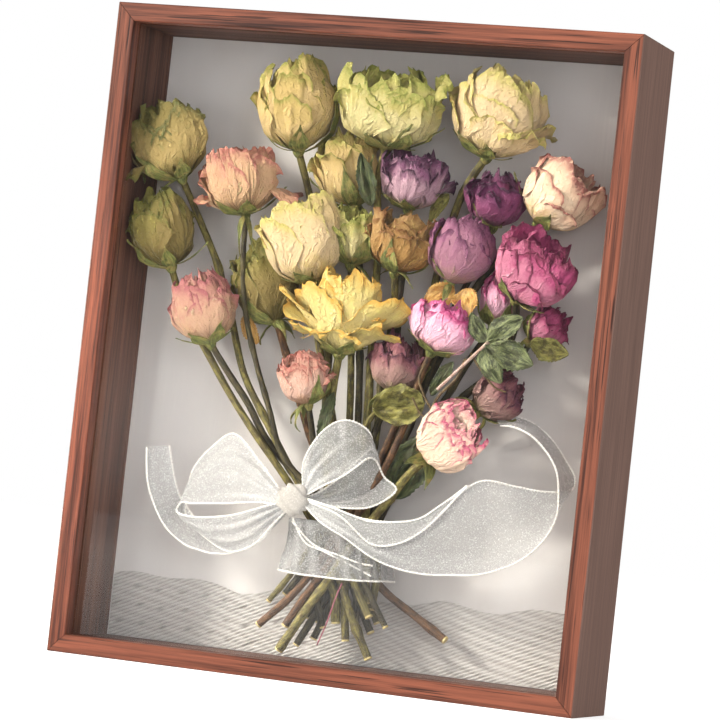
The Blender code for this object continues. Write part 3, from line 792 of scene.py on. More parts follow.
@dataclass(frozen=True)
class KnitFinish:
    """Fine off-white knit with ribbed rows, with painted shade in the grooves between the rows and in the
    holes.

    Attributes:
        name: Name of the material.
        light, shade: Its lightest colour, and its darkest, which is painted shade in the grooves between
            the rows.
    """

    name: str = "lace_knit"
    light: Point = (198, 193, 189)
    shade: Point = (170, 164, 159)

    def make(self) -> bpy.types.Material:
        """Build the material."""
        finish = Finish()
        finish.start(self.name, 0.85, Sheen_Weight=0.3)
        n = finish.nodes
        where = finish.places["Object"]
        rows = n.add("TexWave", {"Vector": n.stretch(where, (1.0, 1.0, 1.0), (0, 0.42, 0)),
                                 "Scale": 190.0, "Distortion": 1.4, "Detail": 2.0,
                                 "Detail Scale": 0.6}, bands_direction="Z").outputs["Fac"]
        stitch = n.add("TexWave", {"Vector": n.stretch(where, (1.0, 1.0, 1.0), (0, -0.5, 0)),
                                   "Scale": 260.0, "Distortion": 2.0, "Detail": 2.0},
                       bands_direction="X").outputs["Fac"]
        yarn = n.times(rows, n.plus(0.55, n.times(stitch, 0.45)))
        holes_shaded = n.part(n.mask())
        # Painted shade: the grooves between the knitted rows are darker.
        cloth = n.mix(n.step(yarn, 0.0, 0.4), srgb(*self.shade), srgb(*self.light))
        # Painted shade: the holes are darkened.
        finish.colour(n.mix(n.times(holes_shaded, 0.5), cloth, srgb(120, 112, 106)))
        bands = n.step(n.noise(n.stretch(where, (0.5, 1.0, 1.6), (0, 0.42, 0)), 60, 3), 0.3, 0.7)
        yarn = n.times(yarn, n.plus(0.35, bands))
        finish.bump(n.less(yarn, holes_shaded), 0.34 * MM)
        return finish.material


class Form(Enum):
    """Outlines of a rose head: pairs of height and radius, as shares of the head."""

    BUD = ((0.0, 0.10), (0.05, 0.42), (0.17, 0.80), (0.38, 0.98), (0.60, 0.97), (0.82, 0.76),
           (1.0, 0.46))
    CUP = ((0.0, 0.10), (0.05, 0.45), (0.17, 0.84), (0.38, 1.0), (0.66, 1.02), (0.88, 0.88),
           (1.0, 0.74))
    FLARED = ((0.0, 0.10), (0.06, 0.42), (0.18, 0.72), (0.40, 0.88), (0.66, 0.90), (0.85, 0.84),
              (1.0, 0.72))


@dataclass(frozen=True)
class Petal:
    """One petal, in shares of its head.

    Attributes:
        angle: Way that it faces in degrees. -90 faces the glass and 0 the right.
        spread: Half of the angle that it covers.
        top: Height of its tip.
        scale: Radius against the head's outline.
        flare: How far its upper part opens outwards.
        roll: How far its rim rolls outwards.
        drop: How far its tip falls back down.
        age: Share of the tip colour and stains.
        inner: Share of painted shade that darkens the inner petals.
        point: How pointed its tip is.
    """

    angle: float
    spread: float = 60.0
    top: float = 0.95
    scale: float = 1.0
    flare: float = 0.0
    roll: float = 0.05
    drop: float = 0.0
    age: float = 0.3
    inner: float = 0.0
    point: float = 0.2


@dataclass(frozen=True)
class Sepal:
    """One pointed green leaf under a head.

    Attributes:
        angle: Way that it faces in degrees.
        length: Length in metres of one that stands free.
        lift: Angle from the head's axis where it starts, in degrees.
        curl: Degrees that it turns over its length. Above zero it falls outwards.
        width: Half width in metres.
        hug: Height on the head that it reaches while it lies against the petals, as a share.
    """

    angle: float
    length: float = 15 * MM
    lift: float = 62.0
    curl: float = -45.0
    width: float = 2.4 * MM
    hug: float = 0.0

    @classmethod
    def of(cls, row: Row) -> "Sepal":
        """Read a row of the roses' table, whose lengths are in millimetres.

        Args:
            row: Angle, half width and hug of a sepal that lies against the petals, or angle,
                length, lift, curl and sometimes half width of a free one.

        Returns:
            The sepal.
        """
        if len(row) == 3:
            return cls(row[0], width=row[1] * MM, hug=row[2])
        return cls(row[0], row[1] * MM, *row[2:4], *(w * MM for w in row[4:]))


@dataclass(frozen=True)
class Rose:
    """A rose: its place, the route of its stem and its look.

    Attributes:
        name: Node that it replaces.
        neck, top: Foot and top of the head as (x, z) in millimetres.
        width: Width of the head in millimetres.
        y: Depth of the head's middle in millimetres.
        deep: Depth of the head in millimetres.
        radius: Radius of the stem in millimetres.
        layer: Layer at the tie, from the front.
        past: y of the stem behind the lower heads in millimetres.
        route: Points (x, z) of the stem below the neck in millimetres.
        slot: Material slot of the record.
        form: Outline of the head.
        tone: Colour family.
        tilt: Degrees that the head leans towards the glass.
        crinkle: Depth of the dried folds as a share of the radius.
        extra: Rows of its own petals, in front of the others.
        sepals: Rows of its sepals. Where there are none, they are diced.
        outer: Height of the outermost petals.
    """

    name: str
    neck: Pair
    top: Pair
    width: float
    y: float
    deep: float
    radius: float
    layer: int
    past: float
    route: Tuple[Pair, ...]
    slot: str
    form: Form
    tone: str
    tilt: float = 0.0
    crinkle: float = 0.085
    extra: Tuple[Row, ...] = ()
    sepals: Tuple[Row, ...] = ()
    outer: float = 0.88


TONES: Dict[str, PetalFinish] = {
    "olive": PetalFinish((134, 122, 56), (210, 182, 118), (134, 122, 56), (72, 74, 28),
                         (104, 86, 42), (118, 108, 56), 0.75, 0.5),
    "moss": PetalFinish((124, 114, 48), (178, 154, 86), (200, 186, 92), (84, 84, 28),
                        (80, 66, 32), (96, 84, 40), 0.8, 0.55),
    "cream": PetalFinish((190, 180, 100), (230, 208, 154), (204, 188, 118), (124, 122, 50),
                         (150, 118, 66), (186, 160, 92), 0.7, 0.4),
    "lime": PetalFinish((212, 194, 122), (240, 228, 176), (196, 190, 108), (116, 120, 48),
                        (140, 124, 70), (160, 164, 102), 0.7, 0.5),
    "ivory": PetalFinish((180, 168, 100), (211, 192, 164), (193, 174, 127), (168, 158, 84),
                         (178, 148, 100), (206, 186, 130), 0.65, 0.3),
    "blush": PetalFinish((172, 162, 90), (184, 172, 120), (168, 140, 106), (148, 84, 76),
                         (172, 124, 100), (190, 128, 116), 0.7, 0.4),
    "swirl": PetalFinish((214, 198, 148), (247, 237, 215), (238, 212, 204), (160, 50, 92),
                         (192, 140, 112), (206, 150, 140), 0.6, 0.3),
    "peach": PetalFinish((214, 198, 152), (247, 235, 217), (230, 200, 182), (146, 80, 70),
                         (154, 94, 74), (172, 108, 86), 0.75, 0.4),
    "parchment": PetalFinish((216, 200, 136), (246, 233, 208), (226, 194, 174), (134, 72, 66),
                             (186, 140, 104), (184, 120, 104), 0.6, 0.3),
    "gold": PetalFinish((168, 122, 48), (240, 200, 116), (238, 208, 134), (104, 62, 24),
                        (104, 62, 24), (140, 92, 38), 0.8, 0.5),
    "pale": PetalFinish((170, 168, 82), (238, 222, 166), (222, 205, 132), (184, 138, 52),
                        (164, 140, 66), (196, 188, 104), 0.65, 0.45),
    "dusty": PetalFinish((176, 176, 106), (184, 182, 134), (154, 120, 106), (128, 64, 70),
                         (156, 104, 92), (156, 96, 94), 0.75, 0.5),
    "pink": PetalFinish((228, 214, 172), (248, 224, 226), (214, 126, 168), (150, 30, 88),
                        (198, 104, 148), (206, 140, 158), 0.6, 0.3),
    "lavender": PetalFinish((180, 156, 108), (158, 118, 120), (110, 60, 82), (78, 32, 60),
                            (136, 80, 112), (132, 96, 100), 0.6, 0.35),
    "magenta": PetalFinish((204, 164, 144), (234, 178, 188), (168, 72, 112), (84, 14, 42),
                           (146, 50, 92), (116, 34, 62), 0.75, 0.5),
    "violet": PetalFinish((212, 192, 130), (208, 180, 178), (80, 30, 64), (42, 10, 36),
                          (132, 84, 112), (92, 44, 74), 0.6, 0.5),
    "plum": PetalFinish((170, 106, 120), (176, 90, 128), (102, 34, 76), (38, 8, 30),
                        (78, 24, 62), (62, 22, 50), 0.7, 0.5),
    "wine": PetalFinish((220, 204, 148), (240, 204, 184), (184, 116, 122), (56, 16, 40),
                        (92, 44, 54), (122, 78, 66), 0.75, 0.5),
}


STEM_STREAKS = ((26.0, 9.0), 0.5 * MM)
SKINS: Tuple[LeafFinish, ...] = (
    LeafFinish("sepal_green", (136, 138, 72), (54, 62, 30), (158, 138, 82), 0.6, (7.0, 1.6), 1.0 * MM),
    LeafFinish("stem_olive", (132, 120, 60), (40, 36, 20), (54, 38, 24), 0.6, *STEM_STREAKS),
    LeafFinish("stem_light", (152, 140, 76), (66, 62, 32), (82, 62, 36), 0.6, *STEM_STREAKS),
    LeafFinish("stem_dark", (82, 72, 40), (24, 22, 16), (38, 28, 20), 0.6, *STEM_STREAKS),
    LeafFinish("stem_brown", (124, 86, 52), (48, 30, 20), (36, 24, 18), 0.6, *STEM_STREAKS),
    LeafFinish("stem_cut", (222, 206, 150), (186, 164, 104), (150, 124, 74), 0.5, (9.0, 9.0)),
    LeafFinish("leaf_olive", (146, 138, 72), (90, 88, 42), (62, 52, 28), 0.75, (9.0, 4.0), 0.8 * MM),
    LeafFinish("leaf_dark", (92, 100, 58), (32, 42, 30), (66, 54, 38), 0.5, (8.0, 3.0), 0.8 * MM),
    LeafFinish("leaf_grey", (136, 142, 96), (52, 60, 40), (44, 42, 30), 0.7, (8.0, 3.0), 0.8 * MM),
    LeafFinish("twig_brown", (112, 92, 56), (58, 42, 30), (86, 62, 40), 0.5, (9.0, 6.0)),
    LeafFinish("petal_ochre", (222, 180, 104), (168, 118, 56), (206, 168, 120), 0.5, (8.0, 3.0),
               0.9 * MM),
    LeafFinish("filament_pink", (168, 96, 110), (130, 60, 78), (110, 60, 60), 0.5, (8.0, 3.0)),
    LeafFinish("stalk_pink", (206, 178, 168), (168, 130, 116), (128, 116, 70), 0.3, (9.0, 4.0)),
)
BARK_OF: Dict[str, str] = {
    "rose_%02d" % number: bark
    for bark, numbers in {"dark": (3, 7, 8, 9, 10, 16, 18, 20, 21, 22, 25),
                          "brown": (14, 15, 19), "light": (5, 17, 24)}.items()
    for number in numbers}


ROSES: Tuple[Rose, ...] = (
    Rose("rose_01", (-100, 238), (-116, 277), 38, -5, 27, 1.9, 1, 14,
         ((-94, 222), (-79, 195), (-69, 169), (-61, 147), (-46, 121), (-24, 96), (-6, 76), (6, 59),
          (22, 34)),
         "rose_olive", Form.BUD, "olive", 8,
         extra=((192, 38, 0.62, 1.06, 0.30, 0.10, 0.34, 0.9),
             (-48, 36, 0.80, 1.05, 0.02, 0.08, 0.0, 0.2), (-112, 44, 0.70, 1.04, 0.0, 0.06, 0.0, 0.1)),
         sepals=((-128, 5, 0.42), (-70, 4, 0.22), (-35, 15, 70, -50), (15, 17, 55, -60, 3),
             (180, 13, 95, 30), (90, 4, 0.4))),
    Rose("rose_02", (-102, 194), (-114, 232), 31, -1, 25, 1.9, 1, 10,
         ((-93, 171), (-84, 159), (-70, 143), (-57, 129), (-43, 113), (-28, 96), (-12, 77), (5, 47),
          (23, 14)),
         "rose_olive", Form.BUD, "moss", 5,
         extra=((190, 34, 0.82, 1.05, 0.06, 0.10, 0.0, 0.1),
             (-110, 40, 0.76, 1.05, 0.0, 0.12, 0.0, 1.0), (-30, 52, 0.95, 1.03, 0.0, 0.02, 0.0, 0.1)),
         sepals=((-140, 4.4, 0.45), (-75, 3.6, 0.25), (-10, 24, 92, -40, 1.2), (170, 4, 0.5))),
    Rose("rose_03", (-65, 223), (-73, 258), 35, -2, 26, 1.4, 1, -5,
         ((-65, 207), (-62, 190), (-58, 168), (-53, 155), (-46, 141), (-33, 108), (-20, 92), (0, 74),
          (30, 30)),
         "rose_peach", Form.CUP, "blush", 8, 0.065,
         extra=((12, 40, 0.66, 1.0, 0.52, 0.12, 0.46, 1.0),
             (188, 24, 0.56, 1.06, 0.16, 0.05, 0.22, 0.9), (-98, 15, 0.86, 1.08, 0.0, 0.02, 0.0, 0.0),
             (-66, 14, 0.84, 1.08, 0.0, 0.03, 0.0, 0.1), (-130, 34, 0.92, 1.03, 0.0, 0.06, 0.0, 0.6)),
         sepals=((-95, 25, 118, 75, 1.5), (-45, 17, 96, -20, 1.6), (-65, 21, 150, 15, 1.2),
             (-120, 4.4, 0.26), (-70, 4.4, 0.2), (20, 3.6, 0.3), (180, 16, 78, -50, 1.8))),
    Rose("rose_04", (-42, 256), (-48, 303), 37, 0, 28, 1.9, 4, 15,
         ((-39, 245), (-33, 226), (-28, 204), (-19, 156), (-12, 110), (-4, 88), (4, 67), (12, 49),
          (21, 31)),
         "rose_cream", Form.BUD, "cream", 4, 0.065,
         extra=((-96, 44, 0.57, 1.09, 0.0, 0.03, 0.0, 1.0),
             (-152, 46, 0.90, 1.05, 0.02, 0.03, 0.0, 0.2), (-42, 58, 0.99, 1.02, 0.0, 0.04, 0.0, 0.2)),
         sepals=((2, 4.6, 0.72), (-150, 19, 84, -80, 1.7), (200, 24, 98, -120, 1.4), (-72, 5, 0.26),
             (-15, 17, 66, -30, 1.3), (-30, 15, 52, -10, 1.2))),
    Rose("rose_05", (3, 261), (7, 303), 45, 0, 29, 2.0, 2, 16,
         ((0, 250), (-1, 236), (1, 216), (3, 187), (5, 153), (8, 124), (11, 90), (12, 61), (17, 40)),
         "rose_olive", Form.CUP, "lime", 16,
         extra=((8, 34, 0.95, 1.0, 0.24, 0.16, 0.0, 0.8), (-84, 52, 0.80, 1.05, 0.0, 0.06, 0.0, 0.5),
             (-150, 44, 0.86, 1.05, 0.02, 0.08, 0.0, 0.9), (-30, 40, 0.7, 1.06, 0.02, 0.05, 0.0, 0.6)),
         sepals=((-38, 25, 46, -8, 2), (-165, 21, 78, -75, 1.8), (-100, 5, 0.24), (-55, 5, 0.42),
             (0, 4.6, 0.36), (-20, 17, 88, -10, 1.8))),
    Rose("rose_06", (54, 260), (63, 304), 42, 1, 29, 2.0, 5, 15,
         ((47, 251), (42, 240), (38, 226), (33, 208), (30, 184), (25, 155), (17, 105), (5, 72), (-8, 38)),
         "rose_cream", Form.BUD, "ivory", 8, 0.05,
         extra=((-98, 70, 0.93, 1.04, 0.0, 0.01, 0.0, 0.0), (-80, 32, 0.50, 1.10, 0.03, 0.12, 0.0, 1.0),
             (-38, 36, 0.46, 1.10, 0.14, 0.12, 0.02, 1.0), (2, 44, 0.60, 1.06, 0.24, 0.10, 0.08, 0.6),
             (195, 38, 0.56, 1.05, 0.05, 0.06, 0.0, 0.9), (-20, 40, 0.92, 1.06, 0.03, 0.08, 0.0, 0.4)),
         sepals=((-120, 5, 0.24), (195, 20, 88, -50, 1.5), (-80, 4.4, 0.18), (-20, 15, 96, -40, 1.5))),
    Rose("rose_07", (-12, 232), (-23, 270), 30, 5, 23, 1.8, 2, 17,
         ((-9, 206), (-4, 172), (1, 138), (5, 104), (8, 70), (11, 46), (13, 29)),
         "rose_cream", Form.BUD, "cream", 4, 0.065),
    Rose("rose_08", (17, 232), (21, 263), 30, 2, 23, 1.7, 0, 16,
         ((15, 207), (15, 183), (15, 149), (11, 119), (5, 94), (-2, 74), (-11, 55), (-22, 40)),
         "rose_purple", Form.CUP, "violet", 8, 0.06,
         extra=((195, 34, 0.80, 1.06, 0.06, 0.08, 0.0, 0.7), (-92, 32, 0.66, 1.07, 0.0, 0.04, 0.0, 0.0),
             (14, 34, 0.72, 1.0, 0.32, 0.10, 0.12, 0.2)),
         sepals=((-80, 4, 0.2), (-10, 17, 62, -20, 2.2), (-175, 14, 90, -40, 1.6), (-120, 3.6, 0.2))),
    Rose("rose_09", (60, 227), (63, 255), 27, 4, 21, 1.7, 3, 13,
         ((53, 213), (48, 191), (39, 166), (30, 136), (21, 110), (11, 88), (2, 67), (-15, 30)),
         "rose_purple", Form.BUD, "plum", 10,
         sepals=((-92, 19, 88, -34, 2.6), (-140, 15, 70, -50, 1.6), (-50, 12, 92, -30, 1.8))),
    Rose("rose_10", (83, 230), (102, 260), 33, 3, 26, 1.9, 3, 16,
         ((74, 223), (66, 214), (55, 203), (45, 183), (36, 158), (27, 131), (12, 95), (-13, 33)),
         "rose_peach", Form.CUP, "parchment", 5, 0.05,
         extra=((-104, 64, 0.98, 1.06, 0.0, 0.02, 0.0, 0.0), (-22, 36, 1.0, 1.0, 0.20, 0.12, 0.0, 1.0),
             (-58, 32, 0.50, 1.10, 0.06, 0.10, 0.0, 0.9)),
         sepals=((190, 26, 74, -30, 2.6), (-70, 4.4, 0.3), (-40, 20, 60, -30, 1.8))),
    Rose("rose_11", (-26, 192), (-39, 235), 36, -4, 25, 1.9, 4, 14,
         ((-25, 180), (-21, 160), (-15, 136), (-9, 112), (-2, 89), (6, 67), (18, 37)),
         "rose_cream", Form.CUP, "ivory", 5, 0.055,
         extra=((-100, 66, 0.90, 1.06, 0.02, 0.03, 0.0, 0.1),
             (-30, 40, 0.98, 1.03, 0.04, 0.05, 0.0, 0.9), (190, 40, 0.8, 1.04, 0.08, 0.06, 0.0, 0.6)),
         sepals=((-30, 20, 40, -10, 3.2), (-100, 4.6, 0.16), (-170, 14, 84, -30))),
    Rose("rose_12", (-9, 203), (-8, 232), 23, 1, 17, 1.8, 2, 13,
         ((-7, 171), (-3, 137), (0, 108), (3, 75), (7, 41), (9, 21)),
         "rose_olive", Form.CUP, "lime", 5),
    Rose("rose_13", (15, 201), (21, 232), 29, -2, 22, 1.8, 3, 14,
         ((15, 188), (14, 173), (13, 149), (11, 119), (6, 90), (-1, 64), (-11, 28)),
         "rose_gold", Form.CUP, "gold", 6,
         extra=((-92, 38, 0.72, 1.07, 0.0, 0.03, 0.0, 0.0),
             (-148, 40, 0.94, 1.04, 0.04, 0.06, 0.0, 0.9), (-10, 42, 0.98, 1.02, 0.10, 0.08, 0.0, 1.0))),
    Rose("rose_14", (43, 198), (53, 231), 31, -1, 24, 1.8, 0, 14,
         ((33, 175), (27, 150), (20, 120), (14, 100), (4, 77), (-5, 58), (-20, 40), (-34, 24)),
         "rose_pink", Form.BUD, "lavender", 4, 0.045,
         extra=((-78, 62, 0.94, 1.06, 0.0, 0.01, 0.0, 0.1), (-158, 28, 0.84, 1.08, 0.03, 0.05, 0.0, 1.0)),
         sepals=((-130, 15, 70, -30, 2.2), (-70, 19, 120, 50, 1.8), (-15, 13, 66, -40))),
    Rose("rose_15", (-47, 172), (-64, 212), 32, 9, 22, 1.9, 4, 12,
         ((-42, 160), (-37, 148), (-32, 136), (-22, 112), (-10, 91), (4, 70), (20, 51), (46, 33),
          (57, 27)),
         "rose_olive", Form.BUD, "moss", 2),
    Rose("rose_16", (-75, 158), (-86, 193), 31, -5, 24, 1.8, 4, 4,
         ((-71, 152), (-65, 144), (-53, 126), (-43, 114), (-27, 97), (-12, 80), (2, 62), (19, 26)),
         "rose_pink", Form.BUD, "dusty", 5,
         extra=((-72, 46, 0.62, 1.08, 0.0, 0.04, 0.0, 0.0), (-120, 40, 0.92, 1.04, 0.04, 0.07, 0.0, 1.0)),
         sepals=((180, 17, 84, -30, 2.2), (-110, 4.4, 0.2), (-50, 4, 0.26), (0, 13, 88, -40))),
    Rose("rose_17", (-8, 159), (-6, 201), 38, -4, 25, 2.1, 2, 9,
         ((-10, 144), (-11, 126), (-9, 98), (-4, 69), (0, 49), (3, 29)),
         "rose_yellow", Form.FLARED, "pale", 6,
         extra=((184, 38, 0.62, 1.0, 0.62, 0.06, 0.06, 0.9, 0.0, 0.3),
             (-140, 42, 0.50, 1.0, 0.50, 0.07, 0.16, 1.0), (-92, 40, 0.46, 1.0, 0.42, 0.08, 0.16, 0.8),
             (-42, 42, 0.48, 1.0, 0.46, 0.08, 0.10, 0.7),
             (2, 38, 0.64, 1.0, 0.66, 0.06, 0.02, 0.6, 0.0, 0.4),
             (-118, 46, 0.97, 0.84, 0.02, 0.06, 0.0, 0.0), (-46, 46, 1.0, 0.86, 0.05, 0.06, 0.0, 0.1)),
         sepals=((-60, 4.6, 0.2), (-110, 4.6, 0.18), (0, 13, 80, -20))),
    Rose("rose_18", (-20, 133), (-26, 160), 22, -7, 18, 1.6, 2, 0,
         ((-17, 116), (-15, 92), (-12, 68), (-9, 44), (-3, 26)),
         "rose_peach", Form.CUP, "peach", 12,
         extra=((-100, 34, 0.78, 1.02, 0.10, 0.12, 0.0, 0.3),
             (-50, 34, 0.86, 1.02, 0.14, 0.14, 0.0, 0.8), (0, 30, 0.62, 1.0, 0.30, 0.12, 0.1, 0.5))),
    Rose("rose_19", (39, 164), (49, 190), 31, -5, 22, 1.8, 0, 2,
         ((34, 148), (29, 126), (22, 106), (11, 83), (2, 63), (-7, 47), (-20, 25)),
         "rose_pink", Form.BUD, "pink", 2, 0.055,
         extra=((-104, 34, 0.97, 1.05, 0.02, 0.03, 0.0, 0.1, 0.0, 0.7),
             (-58, 32, 1.0, 1.06, 0.03, 0.04, 0.0, 0.3, 0.0, 0.8),
             (-152, 36, 0.80, 1.06, 0.10, 0.05, 0.0, 0.0), (-5, 36, 0.90, 1.0, 0.10, 0.06, 0.0, 0.5)),
         sepals=((-100, 4.4, 0.18), (-40, 4, 0.22), (-160, 14, 80, -20), (0, 15, 76, -30))),
    Rose("rose_20", (78, 193), (96, 225), 35, -3, 25, 1.9, 5, 14,
         ((76, 176), (70, 162), (60, 152), (51, 143), (39, 128), (28, 112), (13, 86), (-11, 33)),
         "rose_magenta", Form.CUP, "magenta", 18,
         extra=((-72, 28, 0.46, 1.10, 0.06, 0.15, 0.0, 1.0),
             (-115, 38, 0.84, 1.06, 0.0, 0.05, 0.0, 0.1), (-30, 36, 0.92, 1.06, 0.04, 0.10, 0.0, 1.0)),
         sepals=((-110, 4.4, 0.3), (-45, 23, 84, -24, 1.6), (-15, 17, 90, -30, 1.6))),
    Rose("rose_21", (84, 174), (99, 190), 20, 9, 16, 1.6, 5, 14,
         ((75, 160), (62, 147), (48, 131), (36, 118), (24, 103), (13, 84), (-4, 37)),
         "rose_pink", Form.BUD, "magenta", 0),
    Rose("rose_22", (65, 180), (67, 207), 17, 6, 15, 1.6, 3, 13,
         ((59, 170), (49, 150), (36, 127), (25, 108), (15, 89), (5, 70), (-17, 16)),
         "rose_magenta", Form.BUD, "pink", 0),
    Rose("rose_23", (20, 143), (23, 171), 25, 0, 20, 1.3, 0, -2,
         ((14, 135), (8, 124), (1, 104), (-7, 76), (-15, 56), (-30, 36)),
         "rose_purple", Form.BUD, "wine", 5),
    Rose("rose_24", (44, 114), (71, 139), 29, -5, 23, 2.1, 0, -4,
         ((33, 103), (25, 90), (11, 70), (-2, 49), (-22, 13)),
         "rose_peach", Form.CUP, "swirl", 34, 0.055,
         extra=((-125, 40, 0.95, 1.05, 0.05, 0.06, 0.0, 1.0),
             (-60, 60, 0.80, 1.06, 0.0, 0.08, 0.0, 0.0), (10, 40, 0.95, 1.0, 0.10, 0.08, 0.0, 0.9)),
         sepals=((-100, 17, 100, -20, 3.4), (-40, 17, 108, -10, 3.6), (190, 13, 60, -20))),
    Rose("rose_25", (63, 138), (82, 156), 23, 4, 18, 1.7, 3, 10,
         ((54, 128), (43, 115), (31, 102), (20, 87), (9, 66), (-9, 20)),
         "rose_purple", Form.BUD, "wine", 4),
)


def smooth_route(points: Sequence[Sequence[float]], count: int) -> np.ndarray:
    """Space points evenly along a smooth curve.

    Args:
        points: Points that the curve passes through.
        count: Number of points that come back.

    Returns:
        The spaced points, one row each.
    """
    pts = np.array(points, float)
    ends = np.vstack([2 * pts[0] - pts[1], pts, 2 * pts[-1] - pts[-2]])
    fine = []
    for i in range(len(pts) - 1):
        a, b, c, d = ends[i:i + 4]
        for t in np.linspace(0, 1, 12, endpoint=False):
            fine.append(0.5 * (2 * b + (c - a) * t + (2 * a - 5 * b + 4 * c - d) * t * t
                               + (3 * b - a - 3 * c + d) * t ** 3))
    fine = np.array(fine + [pts[-1]])
    run = np.concatenate([[0], np.cumsum(np.linalg.norm(np.diff(fine[:, :3], axis=0), axis=1))])
    at = np.linspace(0, run[-1], count)
    return np.stack([np.interp(at, run, fine[:, k]) for k in range(fine.shape[1])], axis=1)


@dataclass
class StemBundle:
    """The stems' routes, moved apart in the same way as in the solid model.

    Attributes:
        points: Points of each route.
        clear: Room between two stems.
        heads_end: Greatest height where a route bends into the bunch.
        tie_top, tie_front, tie_back, pitch: Place of the tie and of its layers.
        wrap_low: Lowest place of the ribbon's turn round the stems.
        room_front, room_back: The box's inside, in front and at the back.
        gap: Room that is added between a stem and a head.
        rounds: Times that the routes are pushed apart.
        pull: How much of a push goes along each axis.
    """

    points: int = 10
    clear: float = 0.6 * MM
    heads_end: float = 150 * MM
    tie_top: float = 96 * MM
    tie_front: float = -5.5 * MM
    tie_back: float = 17.3 * MM
    pitch: float = 3.8 * MM
    wrap_low: float = 51 * MM
    room_front: float = STEM_FRONT
    room_back: float = 22.0 * MM
    gap: float = 0.3 * MM
    rounds: int = 400
    pull: Point = (0.4, 1.0, 0.25)

    def first_route(self, rose: Rose) -> np.ndarray:
        """Give a stem its depth at the neck, behind the lower heads and at the tie.

        Args:
            rose: The rose.

        Returns:
            The route's points in metres.
        """
        neck_z = rose.neck[1] * MM
        tie_y = self.tie_front + rose.layer * self.pitch
        bend_z = max(self.tie_top + 20 * MM, min(self.heads_end, neck_z - 25 * MM))
        heights = [self.tie_top, bend_z, neck_z - 12 * MM, neck_z]
        depths = [tie_y, rose.past * MM, rose.past * MM, rose.y * MM]
        points = [(x * MM, float(np.interp(z * MM, heights, depths)), z * MM)
                  for x, z in (rose.neck,) + rose.route]
        return smooth_route(points, self.points)

    @staticmethod
    def nearest(p1: np.ndarray, d1: np.ndarray, p2: np.ndarray,
                d2: np.ndarray) -> Tuple[np.ndarray, np.ndarray]:
        """Find where two sets of straight runs come nearest.

        Args:
            p1, d1: Starts and runs of the first set.
            p2, d2: Starts and runs of the second set.

        Returns:
            The shares along the first and the second runs.
        """
        r = p1 - p2
        a, e, f = (d1 * d1).sum(-1), (d2 * d2).sum(-1), (d2 * r).sum(-1)
        c, b = (d1 * r).sum(-1), (d1 * d2).sum(-1)
        across = a * e - b * b
        s = np.where(across > 1e-16, (b * f - c * e) / np.maximum(across, 1e-16), 0.5)
        t = np.clip((b * np.clip(s, 0, 1) + f) / e, 0, 1)
        return np.clip((b * t - c) / a, 0, 1), t

    def heads(self, roses: Sequence[Rose]) -> List[Tuple[np.ndarray, np.ndarray]]:
        """Middle and half sizes of every head in metres."""
        found = []
        for rose in roses:
            neck = np.array([rose.neck[0], rose.y, rose.neck[1]]) * MM
            top = np.array([rose.top[0], rose.y, rose.top[1]]) * MM
            half = np.array([rose.width / 2 * MM, rose.deep / 2 * MM,
                             np.linalg.norm(top - neck) / 2])
            found.append(((neck + top) / 2, half))
        return found

    def spread(self, roses: Sequence[Rose]) -> np.ndarray:
        """Move the routes apart until no two stems touch.

        Args:
            roses: All the roses.

        Returns:
            Routes as an array of roses, points and coordinates.
        """
        routes = np.array([self.first_route(rose) for rose in roses])
        radii = np.array([rose.radius * MM for rose in roses])
        first, second = np.triu_indices(len(routes), 1)
        for _ in range(self.rounds):
            runs = routes[:, 1:] - routes[:, :-1]
            p1, d1 = routes[first][:, :-1][:, :, None], runs[first][:, :, None]
            p2, d2 = routes[second][:, :-1][:, None], runs[second][:, None]
            s, t = self.nearest(p1, d1, p2, d2)
            apart = (p1 + s[..., None] * d1) - (p2 + t[..., None] * d2)
            dist = np.linalg.norm(apart, axis=-1)
            need = (radii[first] + radii[second])[:, None, None] + self.clear
            push = np.maximum(need - dist, 0)
            pair, i, j = np.nonzero(push)
            moves = np.zeros_like(routes)
            way = apart[pair, i, j] / np.maximum(dist[pair, i, j], 1e-6)[:, None]
            way[:, 1] += np.where(way[:, 1] >= 0, 0.3, -0.3)
            step = way * push[pair, i, j][:, None] / 2 * np.array(self.pull)
            near_1, near_2 = s[pair, i, j][:, None], t[pair, i, j][:, None]
            np.add.at(moves, (first[pair], i), step * (1 - near_1))
            np.add.at(moves, (first[pair], i + 1), step * near_1)
            np.add.at(moves, (second[pair], j), -step * (1 - near_2))
            np.add.at(moves, (second[pair], j + 1), -step * near_2)
            routes = self.settle(routes, moves, radii, roses)
        return routes

    def settle(self, routes: np.ndarray, moves: np.ndarray, radii: np.ndarray,
               roses: Sequence[Rose]) -> np.ndarray:
        """Keep the moved stems behind the heads, level and inside the box.

        Args:
            routes: Routes before the move.
            moves: Moves of every point.
            radii: Radius of every stem.
            roses: All the roses.

        Returns:
            The routes after the move.
        """
        for k, (middle, half) in enumerate(self.heads(roses)):
            reach = routes - middle
            spot = (reach[..., 0] / half[0]) ** 2 + (reach[..., 2] / half[2]) ** 2
            dome = half[1] * np.sqrt(np.maximum(0, 1 - spot * 0.8))
            thick = dome + radii[:, None] + 2 * self.gap
            inside = (spot < 1.25) & (np.abs(reach[..., 1]) < thick)
            inside[k] = False
            out = np.where(reach[..., 1] > 0, thick - reach[..., 1], -thick - reach[..., 1])
            moves[..., 1] += np.where(inside, out * 0.3, 0)
        moves[:, 0] = 0
        moves[:, 1] *= 0.5
        moves = np.clip(moves, -1.2 * MM, 1.2 * MM)
        level = (routes[:, :-2, 1] + routes[:, 2:, 1]) / 2 - routes[:, 1:-1, 1]
        moves[:, 1:-1, 1] += level * 0.04
        routes = routes + moves
        below = routes[..., 2] < self.tie_top + 15 * MM
        tied = (routes[..., 2] < self.tie_top) & (routes[..., 2] > self.wrap_low - 6 * MM)
        low = np.where(below, self.tie_front - 1 * MM, self.room_front + 2 * MM)
        high = np.where(tied, self.tie_back, self.room_back) - radii[:, None]
        routes[:, 1:, 1] = np.clip(routes[:, 1:, 1], low[:, 1:], high[:, 1:])
        return routes


